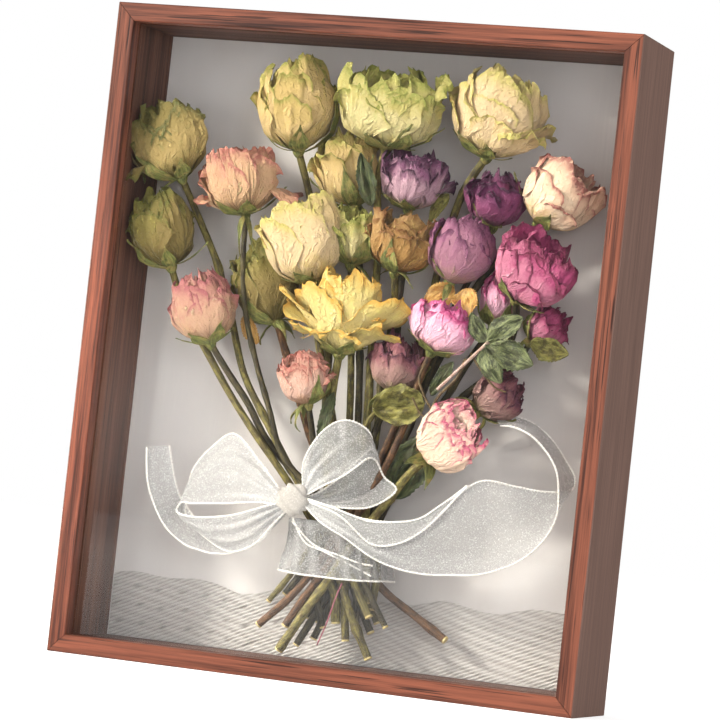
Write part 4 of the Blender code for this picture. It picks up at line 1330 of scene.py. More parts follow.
@dataclass
class RoseMaker:
    """Builds each rose from copies of one petal grid, with its sepals, hip and stem.

    Attributes:
        petal_wall: Thickness of a petal.
        sepal_wall: Thickness of a sepal.
        stem_points: Points along a finished stem.
        in_head: How far a stem reaches into its head.
        front, back: Where the room behind the glass starts and ends.
        soft: Depth over which petals near the glass or the satin are pressed in.
        patch, strip: Grids of a petal and of a sepal.
    """

    petal_wall: float = 0.22 * MM
    sepal_wall: float = 0.3 * MM
    stem_points: int = 46
    in_head: float = 5 * MM
    front: float = STEM_FRONT
    back: float = 21.6 * MM
    soft: float = 5 * MM
    patch: Patch = field(default_factory=lambda: Patch(21, 15))
    strip: Patch = field(default_factory=lambda: Patch(6, 16))

    def frame_of(self, rose: Rose) -> Tuple[np.ndarray, np.ndarray, np.ndarray]:
        """Find a head's place.

        Args:
            rose: The rose.

        Returns:
            The neck, the half width, half depth and height, and the rows of its side,
            depth and up ways.
        """
        neck = np.array([rose.neck[0], rose.y, rose.neck[1]]) * MM
        top = np.array([rose.top[0], rose.y, rose.top[1]]) * MM
        height = np.linalg.norm(top - neck)
        up = (top - neck) / height
        lean = math.radians(rose.tilt)
        depth = np.array([0.0, math.cos(lean), 0.0]) + up * math.sin(lean)
        up = up * math.cos(lean) + np.array([0.0, -math.sin(lean), 0.0])
        sizes = np.array([rose.width / 2 * MM, rose.deep / 2 * MM, height])
        return neck, sizes, np.array([np.cross(depth, up), depth, up])

    def place(self, rose: Rose, local: np.ndarray) -> np.ndarray:
        """Move points from shares of a head to metres in the frame."""
        neck, sizes, ways = self.frame_of(rose)
        return neck + (local * sizes) @ ways

    def fit(self, spots: np.ndarray) -> np.ndarray:
        """Press points softly into the room behind the glass, in front of the satin.

        Args:
            spots: Points in metres.

        Returns:
            The points with their depth eased inside the room.
        """
        room = self.soft
        near, far = self.front + room, self.back - room
        y = spots[:, 1]
        front = near - room * (1 - np.exp(-np.maximum(near - y, 0) / room))
        back = far + room * (1 - np.exp(-np.maximum(y - far, 0) / room))
        spots[:, 1] = np.where(y < near, front, np.where(y > far, back, y))
        return spots

    def layers(self, rose: Rose, dice: random.Random) -> List[Petal]:
        """List the petals of a head, from the outermost to the heart.

        Args:
            rose: The rose.
            dice: The rose's own seeded dice.

        Returns:
            The petals.
        """
        closed = rose.form is Form.BUD
        # The last number of each ring is the share of painted shade that darkens its petals.
        rings = [(5, 52, rose.outer * 0.92, 1.0, 0.05, 0.0), (4, 60, rose.outer * 1.06, 0.93, 0.03, 0.08),
                 (3, 74, 0.99 if closed else 0.96, 0.76, 0.0, 0.3),
                 (3, 84, 0.97 if closed else 0.92, 0.54, 0.0, 0.55),
                 (2, 115, 0.93 if closed else 0.87, 0.30, 0.0, 0.8)]
        if rose.form is Form.FLARED:
            rings[0] = (5, 50, 0.80, 1.0, 0.62, 0.0)
        petals = []
        start = dice.uniform(0, 360)
        for count, spread, top, scale, flare, inner in rings:
            start += dice.uniform(20, 60)
            for k in range(count):
                loose = dice.uniform(0, 1) ** 2
                petals.append(Petal(start + 360 * k / count + dice.uniform(-16, 16),
                                    spread * dice.uniform(0.82, 1.15),
                                    top * dice.uniform(0.86, 1.04), scale * dice.uniform(0.97, 1.03),
                                    flare * dice.uniform(0.5, 1.5) if inner < 0.05 else flare,
                                    0.02 + 0.13 * loose, 0.0, dice.uniform(0.05, 0.8), inner,
                                    dice.uniform(0.1, 0.45)))
        return petals

    def petal(self, rose: Rose, petal: Petal, seed: int) -> bpy.types.Object:
        """Shape one petal with papery folds and a torn, curled rim.

        Args:
            rose: The rose that it grows on.
            petal: The petal.
            seed: Picks its folds.

        Returns:
            The petal as a thin sheet.
        """
        u, v = self.patch.u, self.patch.v
        outline = np.array(rose.form.value)
        reach = np.radians(petal.spread) * (0.32 + 0.68 * smooth(v, 0.0, 0.5))
        reach = reach * (1 - petal.point * 0.5 * smooth(v, 0.45, 1.0))
        angle = np.radians(petal.angle) + u * reach
        rounding = (0.18 + 0.3 * petal.point) * np.abs(u) ** (2.6 - 1.6 * petal.point)
        ragged = 0.045 * waves(u, v * 0, seed + 1, 8, 0, 9) + 0.02 * waves(u, v * 0, seed + 5, 24, 0, 7)
        height = petal.top * (v - rounding * smooth(v, 0.35, 1.0) + ragged * smooth(v, 0.72, 1.0))
        radius = np.interp(height, outline[:, 0], outline[:, 1]) * petal.scale
        radius = radius + petal.flare * smooth(v, 0.25, 1.0) ** 1.4
        curl = petal.roll * (1 + 0.8 * waves(u, v * 0, seed + 6, 4, 0))
        radius = radius + curl * smooth(v, 0.80, 1.0) + 0.085 * u * smooth(v, 0.05, 0.4)
        height = height - curl * 0.5 * smooth(v, 0.9, 1.0) - petal.drop * smooth(v, 0.3, 1.0) ** 1.3
        ridge = 1 - 2 * np.abs(waves(u, v, seed + 2, 4.2, 1.0, 6))
        cross = 1 - 2 * np.abs(waves(u, v, seed + 7, 3.0, 5.0, 6))
        buckle = waves(u, v, seed + 3, 2.4, 2.2)
        pucker = waves(u, v, seed + 4, 17, 8, 10)
        rim = smooth(v, 0.7, 1.0)
        folds = (0.55 + 0.45 * v) * (0.85 * ridge + 0.30 * cross + 0.85 * buckle) + 0.24 * pucker
        folds = folds + 0.9 * rim * waves(u, v, seed + 8, 9, 2, 8)
        radius = np.maximum(radius + rose.crinkle * folds * smooth(v, 0.0, 0.15), 0.02)
        height = height + 0.25 * rose.crinkle * waves(u, v, seed + 9, 5, 5) * smooth(v, 0.2, 0.6)
        points = np.stack([radius * np.cos(angle), radius * np.sin(angle), height], axis=1)
        edge = np.maximum(smooth(v, 0.80, 1.0), smooth(np.abs(u), 0.9, 1.0) * smooth(v, 0.35, 0.8))
        # The third channel carries the painted shade of the inner petals.
        mask = np.stack([edge, np.full_like(u, petal.age), np.full_like(u, petal.inner)], axis=1)
        return self.patch.shaped("petal", self.fit(self.place(rose, points)), mask)

    def sepal(self, rose: Rose, sepal: Sepal, seed: int) -> bpy.types.Object:
        """Shape one sepal as a pointed strip, free or against the petals.

        Args:
            rose: The rose that it grows on.
            sepal: The sepal.
            seed: Picks its twist.

        Returns:
            The sepal as a thin sheet.
        """
        neck, sizes, ways = self.frame_of(rose)
        u, v = self.strip.u, self.strip.v
        half = sepal.width * (0.5 + 0.5 * smooth(v, 0, 0.22)) * (1 - smooth(v, 0.22, 1.0) * 0.95)
        wobble = waves(v, v * 0, seed, 6, 0, 4) * 0.8 * MM * v
        ripple = 0.35 * MM * waves(u, v, seed + 1, 3, 9) * smooth(v, 0.1, 0.4)
        if sepal.hug:
            outline = np.array(rose.form.value)
            height = sepal.hug * v
            radius = np.interp(height, outline[:, 0], outline[:, 1]) * 1.07 + 0.03
            size = (sizes[0] + sizes[1]) / 2
            radius = radius + (ripple + 0.35 * half * np.abs(u)) / size
            radius = radius + 0.22 * smooth(v, 0.62, 1.0)
            angle = math.radians(sepal.angle) + (u * half + wobble) / (np.maximum(radius, 0.3) * size)
            points = np.stack([radius * np.cos(angle), radius * np.sin(angle), height - 0.02], axis=1)
            spots = self.place(rose, points)
        else:
            steps = np.linspace(0, 1, 40)
            turn = np.radians(sepal.lift + sepal.curl * steps)
            out = np.concatenate([[0], np.cumsum(np.sin(turn[:-1]))]) / 39 * sepal.length
            rise = np.concatenate([[0], np.cumsum(np.cos(turn[:-1]))]) / 39 * sepal.length
            radial = 1.6 * MM + np.interp(v, steps, out) - 0.5 * half * u * u + ripple
            height = 0.2 * MM + np.interp(v, steps, rise)
            angle, side = math.radians(sepal.angle), u * half + wobble
            local = np.stack([radial * math.cos(angle) - side * math.sin(angle),
                              radial * math.sin(angle) + side * math.cos(angle), height], axis=1)
            spots = neck + local @ ways
        return self.strip.shaped("sepal", self.fit(spots))

    def hip(self, rose: Rose) -> bpy.types.Object:
        """Model the small green hip under the petals.

        Args:
            rose: The rose.

        Returns:
            The hip as a closed shape.
        """
        neck, _sizes, ways = self.frame_of(rose)
        hip, spots = Bench.ball(14, 9)
        girth = rose.radius * MM * 1.75
        taper = 0.72 + 0.28 * smooth(spots[:, 2], -1.0, 0.6)
        local = np.stack([spots[:, 0] * girth * taper, spots[:, 1] * girth * taper,
                          spots[:, 2] * 3.4 * MM - 0.6 * MM], axis=1)
        Bench.reshape(hip, neck + local @ ways)
        return hip

    def stem(self, rose: Rose, route: np.ndarray, seed: int, bark: bpy.types.Material,
             cut: bpy.types.Material) -> bpy.types.Object:
        """Draw a stem as a curve with knots, and turn it into a mesh.

        Args:
            rose: The rose.
            route: Its route.
            seed: Picks its knots.
            bark, cut: Materials of the stem and of its cut foot.

        Returns:
            The stem as a closed tube.
        """
        _neck, _sizes, ways = self.frame_of(rose)
        line = np.vstack([route[0] + ways[2] * self.in_head, route])
        line = smooth_route(line, self.stem_points)
        back = line[-2] - line[-1]
        ring = line[-1] + back / np.linalg.norm(back) * 0.9 * MM
        line = np.vstack([line[:-1], ring, line[-1]])
        dice = random.Random(seed)
        knots = [dice.uniform(0.1, 0.95) for _ in range(5)]
        last = len(line) - 1
        swell = [0.93 + 0.12 * k / last + 0.22 * sum(math.exp(-((k / last - at) / 0.012) ** 2)
                                                     for at in knots)
                 + dice.uniform(-0.03, 0.03) for k in range(len(line))]
        stem = Bench.rod("stem", [line], rose.radius * MM, 3, swell)
        Bench.dress(stem, bark, cut)
        foot = Vector(line[-1])
        for face in stem.data.polygons:
            if (face.center - foot).length < (rose.radius + 0.5) * MM:
                face.material_index = 1
        return stem

    def default_sepals(self, dice: random.Random) -> List[Sepal]:
        """Five or six sepals, some against the head and some falling away."""
        start = dice.uniform(0, 60)
        found = []
        for k in range(6):
            angle = start + 60 * k + dice.uniform(-14, 14)
            if dice.random() < 0.4:
                found.append(Sepal(angle, dice.uniform(12, 19) * MM, dice.uniform(75, 105),
                                   dice.uniform(40, 130), dice.uniform(1.5, 2.4) * MM))
            else:
                found.append(Sepal(angle, width=dice.uniform(3.6, 5.2) * MM,
                                   hug=dice.uniform(0.34, 0.62)))
        return found

    def build(self, rose: Rose, route: np.ndarray, petals: bpy.types.Material,
              skins: Dict[str, bpy.types.Material]) -> bpy.types.Object:
        """Build a whole rose and let it stand for its solid.

        Args:
            rose: The rose.
            route: The route of its stem.
            petals: Material of the petals.
            skins: The leaf materials by name.

        Returns:
            The finished rose.
        """
        number = int(rose.name[-2:])
        dice = random.Random(number * 17 + 5)
        rows = [Petal(*row) for row in rose.extra] + self.layers(rose, dice)
        head = Bench.join("head", [self.petal(rose, petal, number * 1000 + k * 10)
                                   for k, petal in enumerate(rows)])
        Bench.thicken(head, self.petal_wall)
        Bench.dress(head, petals)
        sepals = [Sepal.of(row) for row in rose.sepals] or self.default_sepals(dice)
        crown = Bench.join("crown", [self.sepal(rose, sepal, number * 77 + k)
                                     for k, sepal in enumerate(sepals)])
        Bench.thicken(crown, self.sepal_wall)
        hip = self.hip(rose)
        for green in (crown, hip):
            Bench.dress(green, skins["sepal_green"])
        bark = skins["stem_" + BARK_OF.get(rose.name, "olive")]
        stem = self.stem(rose, route, number, bark, skins["stem_cut"])
        whole = Bench.join(rose.name + "_flower", [head, crown, hip, stem])
        return Bench.settle(whole, rose.slot, node=rose.name)


@dataclass
class Camera:
    """The camera at the photograph's place and angle.

    Attributes:
        place: Place of the camera.
        azimuth, elevation, roll: Its angles in degrees.
        lens: Focal length for a 36 mm wide sensor.
    """

    place: Point = (0.58276, -1.62041, 0.09683)
    azimuth: float = 19.74
    elevation: float = -2.0
    roll: float = 6.23
    lens: float = 177.85

    def build(self) -> None:
        """Add the camera and make it the scene's."""
        az, el, roll = (math.radians(a) for a in (self.azimuth, self.elevation, self.roll))
        back = Vector((math.sin(az) * math.cos(el), -math.cos(az) * math.cos(el), math.sin(el)))
        right = Vector((math.cos(az), math.sin(az), 0.0))
        up = back.cross(right)
        turned = math.cos(roll) * right + math.sin(roll) * up
        upright = -math.sin(roll) * right + math.cos(roll) * up
        data = bpy.data.cameras.new("photo_camera")
        data.lens = self.lens
        data.sensor_width = 36.0
        data.clip_start = 0.05
        camera = bpy.data.objects.new("photo_camera", data)
        matrix = Matrix((turned, upright, back)).transposed().to_4x4()
        matrix.translation = Vector(self.place)
        camera.matrix_world = matrix
        bpy.context.scene.collection.objects.link(camera)
        bpy.context.scene.camera = camera


@dataclass(frozen=True)
class Lamp:
    """An area lamp.

    Attributes:
        name: Name of the lamp.
        place, target: Where it stands and what it points at.
        size: Side of the lamp in metres.
        power: Power in watts.
        tint: Colour of the light.
        spread: Angle of its beam in degrees. Glossy surfaces mirror only a lamp with a full beam.
    """

    name: str
    place: Point
    target: Point
    size: float
    power: float
    tint: Point
    spread: float = 180.0

    def build(self) -> None:
        """Hang the lamp up and point it at its target."""
        data = bpy.data.lights.new(self.name, "AREA")
        data.size = self.size
        data.energy = self.power
        data.spread = math.radians(self.spread)
        data.color = self.tint
        lamp = bpy.data.objects.new(self.name, data)
        lamp.location = self.place
        lamp.visible_glossy = self.spread == 180.0
        way = Vector(self.target) - Vector(self.place)
        lamp.rotation_euler = way.to_track_quat("-Z", "Y").to_euler()
        bpy.context.scene.collection.objects.link(lamp)


@dataclass
class Studio:
    """Pale floor, white surroundings and soft lamps.

    Attributes:
        ambient: Strength of the light from all around.
        mirrored: Strength of the surroundings in the glass and on the varnish.
        floor_glow: Strength of the floor's own light.
        lamps: The lamps.
    """

    ambient: float = 0.53
    mirrored: float = 0.11
    floor_glow: float = 0.62
    lamps: Tuple[Lamp, ...] = (
        Lamp("key_lamp", (-1.85, -1.5, 1.2), (0.0, 0.0, 0.16), 0.38, 74.0, (1.0, 0.94, 0.86)),
        Lamp("fill_lamp", (1.0, -1.6, 0.5), (0.0, 0.0, 0.16), 0.9, 9.5, (0.97, 0.97, 1.0)),
        Lamp("low_lamp", (-0.42, -1.25, 0.12), (-0.14, 0.024, 0.13), 0.1, 0.15, (1.0, 0.98, 0.96), 12.0))

    def build(self) -> None:
        """Build the floor, the surroundings and the lamps."""
        Bench.clear_selection()
        bpy.ops.mesh.primitive_plane_add(size=8.0, location=(0, 0, 0))
        floor = bpy.context.active_object
        floor.name = "floor"
        finish = Finish()
        finish.start("pale_floor", 0.9, Emission_Color=(1.0, 1.0, 1.0, 1.0),
                     Emission_Strength=self.floor_glow)
        finish.colour((0.85, 0.85, 0.85, 1.0))
        Bench.dress(floor, finish.material)
        floor.visible_glossy = False
        world = bpy.data.worlds.new("white_room")
        bpy.context.scene.world = world
        world.use_nodes = True
        n = Nodes(world.node_tree)
        rays = n.add("LightPath").outputs
        level = n.less(self.ambient, n.times(rays["Is Glossy Ray"], self.ambient - self.mirrored))
        level = n.plus(level, n.times(rays["Is Camera Ray"], 1 - self.ambient))
        back = world.node_tree.nodes["Background"]
        back.inputs["Color"].default_value = (1.0, 1.0, 1.0, 1.0)
        n.feed(back.inputs["Strength"], level)
        for lamp in self.lamps:
            lamp.build()
        bpy.context.scene.view_settings.view_transform = "Standard"


@dataclass
class BoxFrame:
    """The wooden rails, inner walls, glass, board and framer's points, kept from the model."""

    def glass(self) -> bpy.types.Material:
        """Build the clear glass, which lets the lamps' light through.

        Returns:
            The material.
        """
        finish = Finish()
        finish.start("clear_glass", 0.02, Transmission_Weight=1.0, IOR=1.45)
        n = finish.nodes
        finish.colour((0.985, 0.992, 0.988, 1.0))
        clear = n.add("BsdfTransparent", {"Color": (0.96, 0.975, 0.97, 1.0)})
        shadow = n.add("LightPath").outputs["Is Shadow Ray"]
        mixed = n.add("MixShader", {0: shadow, 1: finish.shader.outputs[0], 2: clear.outputs[0]})
        output = finish.material.node_tree.nodes["Material Output"]
        n.feed(output.inputs["Surface"], mixed.outputs[0])
        return finish.material

    def build(self, grain: bpy.types.NodeTree) -> None:
        """Dress every solid of the box.

        Args:
            grain: The wood grain group.
        """
        stain = (srgb(52, 26, 20), srgb(144, 82, 60), srgb(26, 13, 10))
        dusk = (srgb(62, 35, 26), srgb(112, 74, 58), srgb(34, 20, 15))
        rails = {"left": 2, "right": 2, "top": 0, "bottom": 0}
        # Painted shade and sheen for the rails' outer side faces.
        side_shade_sheen = srgb(132, 102, 90)
        woods = {axis: (WoodFinish("rail_wood_%d" % axis, *stain, axis, side=side_shade_sheen).make(grain),
                        WoodFinish("inner_wood_%d" % axis, *dusk, axis, 0.6, 0.0).make(grain))
                 for axis in (0, 2)}
        for side, axis in rails.items():
            Bench.dress(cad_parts["frame_" + side], woods[axis][0])
            Bench.dress(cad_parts["spacer_" + side], woods[axis][1])
        Bench.dress(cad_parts["glass_pane"], self.glass())
        board = WoodFinish("hardboard", srgb(92, 66, 46), srgb(128, 96, 68), srgb(70, 48, 34), 2,
                           0.8, 0.0)
        Bench.dress(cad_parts["back_board"], board.make(grain))
        steel = Finish()
        steel.start("tab_steel", 0.35, Metallic=1.0)
        steel.colour(steel.nodes.mix(steel.nodes.noise(steel.places["Object"], 900),
                                     (0.5, 0.5, 0.5, 1), (0.7, 0.7, 0.7, 1)))
        for number in range(1, 7):
            Bench.dress(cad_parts["back_tab_%d" % number], steel.material)
        LOG.info("dressed the rails, inner walls, glass, board and framer's points")


@dataclass
class Backdrop:
    """The satin at the back and the knitted lace cloth along its foot.

    Attributes:
        fold: Height of the satin's folds.
        lace_edge: Top edge of the lace cloth as (x, z) in millimetres.
        rib: Distance from one knitted rib to the next.
        wall: Thickness of the cloths.
    """

    fold: float = 0.8 * MM
    lace_edge: Tuple[Pair, ...] = ((-124, 40), (-90, 42), (-55, 38), (-25, 42), (10, 40),
                                   (47, 44), (80, 43), (124, 49))
    rib: float = 4.6 * MM
    wall: float = 0.5 * MM

    def satin(self, material: bpy.types.Material) -> None:
        """Model the satin with shallow folds inside the frame's opening.

        Args:
            material: The satin.
        """
        low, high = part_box("satin_backdrop")
        patch = Patch(70, 84)
        x = low[0] + (patch.u + 1) / 2 * (high[0] - low[0])
        z = low[2] + patch.v * (high[2] - low[2])
        inside = smooth(0.120 - np.abs(x), 0, 0.03) * smooth(z, 0.012, 0.06) \
            * smooth(0.305 - z, 0, 0.03)
        free = smooth(z, 0.040, 0.070)
        folds = 0.5 + 0.5 * waves(x * 1000, z * 1000, 31, 0.045, 0.022, 6)
        y = low[1] + 0.1 * MM - self.fold * np.clip(folds, 0, 1.1) * inside * free
        sheet = patch.shaped("satin_sheet", np.stack([x, y, z], axis=1))
        Bench.thicken(sheet, self.wall, 1.0)
        Bench.settle(sheet, "satin", material, node="satin_backdrop")

    def lace(self, material: bpy.types.Material) -> None:
        """Model the lace cloth with ribs that run down to the right.

        Args:
            material: The knit.
        """
        low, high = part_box("lace_cloth")
        edge = np.array(self.lace_edge) * MM
        patch = Patch(200, 44)
        x = low[0] + (patch.u + 1) / 2 * (high[0] - low[0])
        top = np.interp(x, edge[:, 0], edge[:, 1]) + 1.2 * MM * np.sin(x * 150)
        z = low[2] + patch.v * (top - low[2])
        run = z + 0.32 * x + 6 * MM * np.sin(x * 28)
        ribs = 0.5 + 0.5 * np.cos(run / self.rib * math.tau)
        across = x * 0.8 - z * 0.9
        open_row = smooth(np.cos((z - top + 7 * MM) / (9 * MM) * math.tau), 0.5, 1.0)
        holes = open_row * smooth(np.cos(across / (10 * MM) * math.tau), 0.45, 0.9)
        holes = holes * smooth(-x, -0.02, 0.03)
        y = high[1] - 0.5 * MM - 0.75 * MM * ribs * (1 - holes) * smooth(patch.v, 0, 0.05)
        # The holes' mask also darkens the knit, as painted shade in the holes.
        mask = np.stack([holes, ribs, ribs], axis=1)
        cloth = patch.shaped("lace_sheet", np.stack([x, y, z], axis=1), mask)
        Bench.thicken(cloth, 0.4 * MM, 1.0)
        Bench.settle(cloth, "lace_knit", material, node="lace_cloth")

    def build(self, satin: bpy.types.Material, knit: bpy.types.Material) -> None:
        """Build both cloths."""
        self.satin(satin)
        self.lace(knit)


@dataclass(frozen=True)
class Leaf:
    """One dry leaf, in millimetres.

    Attributes:
        foot, tip: Ends of its rib.
        half: Half width.
        fold: How far its rib stands back.
        curl: How far its middle bows forward.
        teeth: Depth of its toothed rim as a share of the half width.
        round: Makes the widest place long. Above 1 gives a blunter leaf.
    """

    foot: Point
    tip: Point
    half: float
    fold: float
    curl: float = 1.0
    teeth: float = 0.06
    round: float = 1.0


@dataclass
class Foliage:
    """The dry leaves, the sprig on its stalk and the loose dry twigs.

    Attributes:
        patch: Grid of a leaf.
        olive, dark: Leaves of each piece with an olive and with a dark skin.
        sprig: Leaves of the sprig.
        stalk, stalk_radius: Line of the sprig's stalk, and its radius.
        twigs: Line and radius of each loose twig.
        filament: Line of the pink filament.
        dead: Loose dead petals.
    """

    patch: Patch = field(default_factory=lambda: Patch(16, 26))
    olive: Dict[str, Tuple[Leaf, ...]] = field(default_factory=lambda: {
        "leaf_round_olive": (Leaf((40, -9, 139), (15, -10, 134), 9.5, 1.5, 1.5, 0.03, 1.3),),
        "leaf_olive_right": (Leaf((86, 0, 173), (106, -1, 169), 5, 1),),
        "leaf_top_right": (Leaf((36, 4, 241), (29, 2, 226), 4, 1),),
    })
    dark: Dict[str, Tuple[Leaf, ...]] = field(default_factory=lambda: {
        "leaf_centre_top": (Leaf((3, -11, 231), (-5, -12, 256), 4.6, 1.4, 1.0, 0.08),),
        "leaf_folded_dark": (Leaf((38, 2, 123), (26, 1, 92), 8.5, 2.5, 1.0, 0.05, 1.4),),
        "leaf_dry_centre": (Leaf((-8, -5, 140), (-12, -5, 111), 4, 1, 2.0, 0.1),),
        "leaf_curled_bract": (Leaf((42, -8, 143), (52, -9, 160), 3.5, 1.5, 3.0, 0.1),),
    })
    sprig: Tuple[Leaf, ...] = (
        Leaf((68, -11, 171), (59, -11, 184), 4.6, 1, 1.0, 0.08, 1.2),
        Leaf((68, -11, 170), (85, -12, 184), 5.4, 1, 1.2, 0.08, 1.2),
        Leaf((68, -11, 170), (92, -11, 162), 6.0, 1, 1.2, 0.08, 1.2),
        Leaf((67, -11, 169), (77, -11, 152), 5.6, 1, 1.0, 0.08, 1.2))
    stalk: Tuple[Point, ...] = ((46, -11, 146), (57, -11, 158), (69, -11, 171))
    stalk_radius: float = 0.8 * MM
    twigs: Tuple[Tuple[Tuple[Point, ...], float], ...] = (
        (((50, -9, 122), (44, -10, 133), (47, -11, 143), (55, -11, 152), (58, -10, 162)), 0.7),
        (((44, -8, 118), (48, -10, 130), (42, -11, 139), (36, -10, 150), (38, -9, 158)), 0.6),
        (((38, -8, 116), (40, -10, 128), (50, -12, 136), (56, -12, 139)), 0.5),
        (((52, -10, 126), (47, -12, 131), (40, -12, 133), (34, -11, 141)), 0.5),
        (((60, -9, 165), (66, -11, 158), (74, -11, 150), (80, -10, 148)), 0.5))
    filament: Tuple[Point, ...] = ((8, -9, 49), (6, -10, 42), (3, -10, 30), (-1, -10, 18))
    dead: Tuple[Leaf, ...] = (
        Leaf((46, -2, 196), (33, -4, 186), 6, 2, 3.0, 0.1, 1.5),
        Leaf((52, -2, 196), (56, -5, 182), 5, 2, 3.0, 0.1, 1.5),
        Leaf((50, -9, 122), (46, -12, 112), 4.5, 2, 2.0, 0.12, 1.6),
        Leaf((-62, 6, 176), (-54, 3, 160), 4.5, 1.5, 2.0, 0.1, 1.4))

    def leaf(self, name: str, leaf: Leaf, seed: int) -> bpy.types.Object:
        """Shape one leaf.

        Args:
            name: Name of the piece.
            leaf: Its sizes.
            seed: Picks its waves.

        Returns:
            The leaf with its thickness.
        """
        u, v = self.patch.u, self.patch.v
        foot, tip = np.array(leaf.foot) * MM, np.array(leaf.tip) * MM
        along = (tip - foot) / np.linalg.norm(tip - foot)
        side = np.cross(along, (0, 1, 0))
        side = side / np.linalg.norm(side)
        front = np.cross(side, along)
        front = front if front[1] < 0 else -front
        shape = np.sin(np.pi * v ** 0.85) ** (0.8 / leaf.round)
        teeth = 1 + leaf.teeth * np.sin(v * 75) * smooth(np.abs(u), 0.6, 1.0)
        uneven = 1 + 0.16 * waves(v, v * 0, seed + 2, 5, 0) + 0.10 * waves(u, v, seed + 5, 3, 9)
        half = leaf.half * MM * (0.03 + 0.97 * shape) * teeth * uneven
        bend = 1.2 * MM * np.sin(np.pi * v) * math.sin(seed)
        lift = leaf.curl * MM * np.sin(np.pi * v) - leaf.fold * MM * (1 - np.abs(u)) * shape
        lift = lift + leaf.half * 0.17 * MM * waves(u, v, seed, 3.5, 6) * shape
        lift = lift + leaf.half * 0.10 * MM * waves(u, v, seed + 8, 9, 11) * shape
        lift = lift + leaf.half * 0.22 * MM * np.abs(u) ** 4 * waves(v, v * 0, seed + 3, 4, 0)
        points = foot + v[:, None] * (tip - foot) + (u * half + bend)[:, None] * side \
            + lift[:, None] * front
        piece = self.patch.shaped(name, points)
        Bench.thicken(piece, 0.3 * MM, 0.0)
        return piece

    def twig(self, points: Sequence[Point], radius: float) -> bpy.types.Object:
        """Draw a thin stalk through points in millimetres."""
        line = smooth_route(np.array(points, float) * MM, 14)
        return Bench.rod("twig", [line], radius, 2)

    def scraps(self, skins: Dict[str, bpy.types.Material]) -> None:
        """Build the thin dry twigs and the dead petals between the stems.

        Args:
            skins: The leaf materials by name.
        """
        twigs = [self.twig(points, radius * MM) for points, radius in self.twigs]
        Bench.settle(Bench.join("dry_twigs", twigs), "dry_leaf", skins["twig_brown"])
        thread = self.twig(self.filament, 0.35 * MM)
        thread.name = "pink_filament"
        Bench.settle(thread, "dry_leaf", skins["filament_pink"])
        petals = [self.leaf("petal", row, 40 + k) for k, row in enumerate(self.dead)]
        Bench.settle(Bench.join("dead_petals", petals), "dry_leaf", skins["petal_ochre"])

    def build(self, skins: Dict[str, bpy.types.Material]) -> None:
        """Build every leaf.

        Args:
            skins: The leaf materials by name.
        """
        for tone, leaves in (("leaf_olive", self.olive), ("leaf_dark", self.dark)):
            for seed, (name, rows) in enumerate(leaves.items()):
                piece = Bench.join(name + "_dry", [self.leaf(name, row, seed + 3) for row in rows])
                Bench.settle(piece, "dry_leaf", skins[tone], node=name)
        leaflets = Bench.join("leaflets", [self.leaf("leaflet", row, 20 + k)
                                           for k, row in enumerate(self.sprig)])
        Bench.dress(leaflets, skins["leaf_grey"])
        stalk = self.twig(self.stalk, self.stalk_radius)
        Bench.dress(stalk, skins["stalk_pink"])
        sprig = Bench.join("leaf_sprig_dry", [leaflets, stalk])
        Bench.settle(sprig, "dry_leaf", node="leaf_sprig_right")
        self.scraps(skins)


@dataclass(frozen=True)
class Band:
    """One length of ribbon between two edges.

    Attributes:
        edges: Pairs of points (x, y, z) on its two edges in millimetres.
        bulge: How far its middle bows towards the glass, in millimetres.
        pleats: Number of pleats across it.
        deep: Depth of the pleats at the knot, in millimetres.
        both: True where both ends are gathered in the knot.
    """

    edges: Tuple[Tuple[Point, Point], ...]
    bulge: float = 1.5
    pleats: float = 2.5
    deep: float = 1.1
    both: bool = False


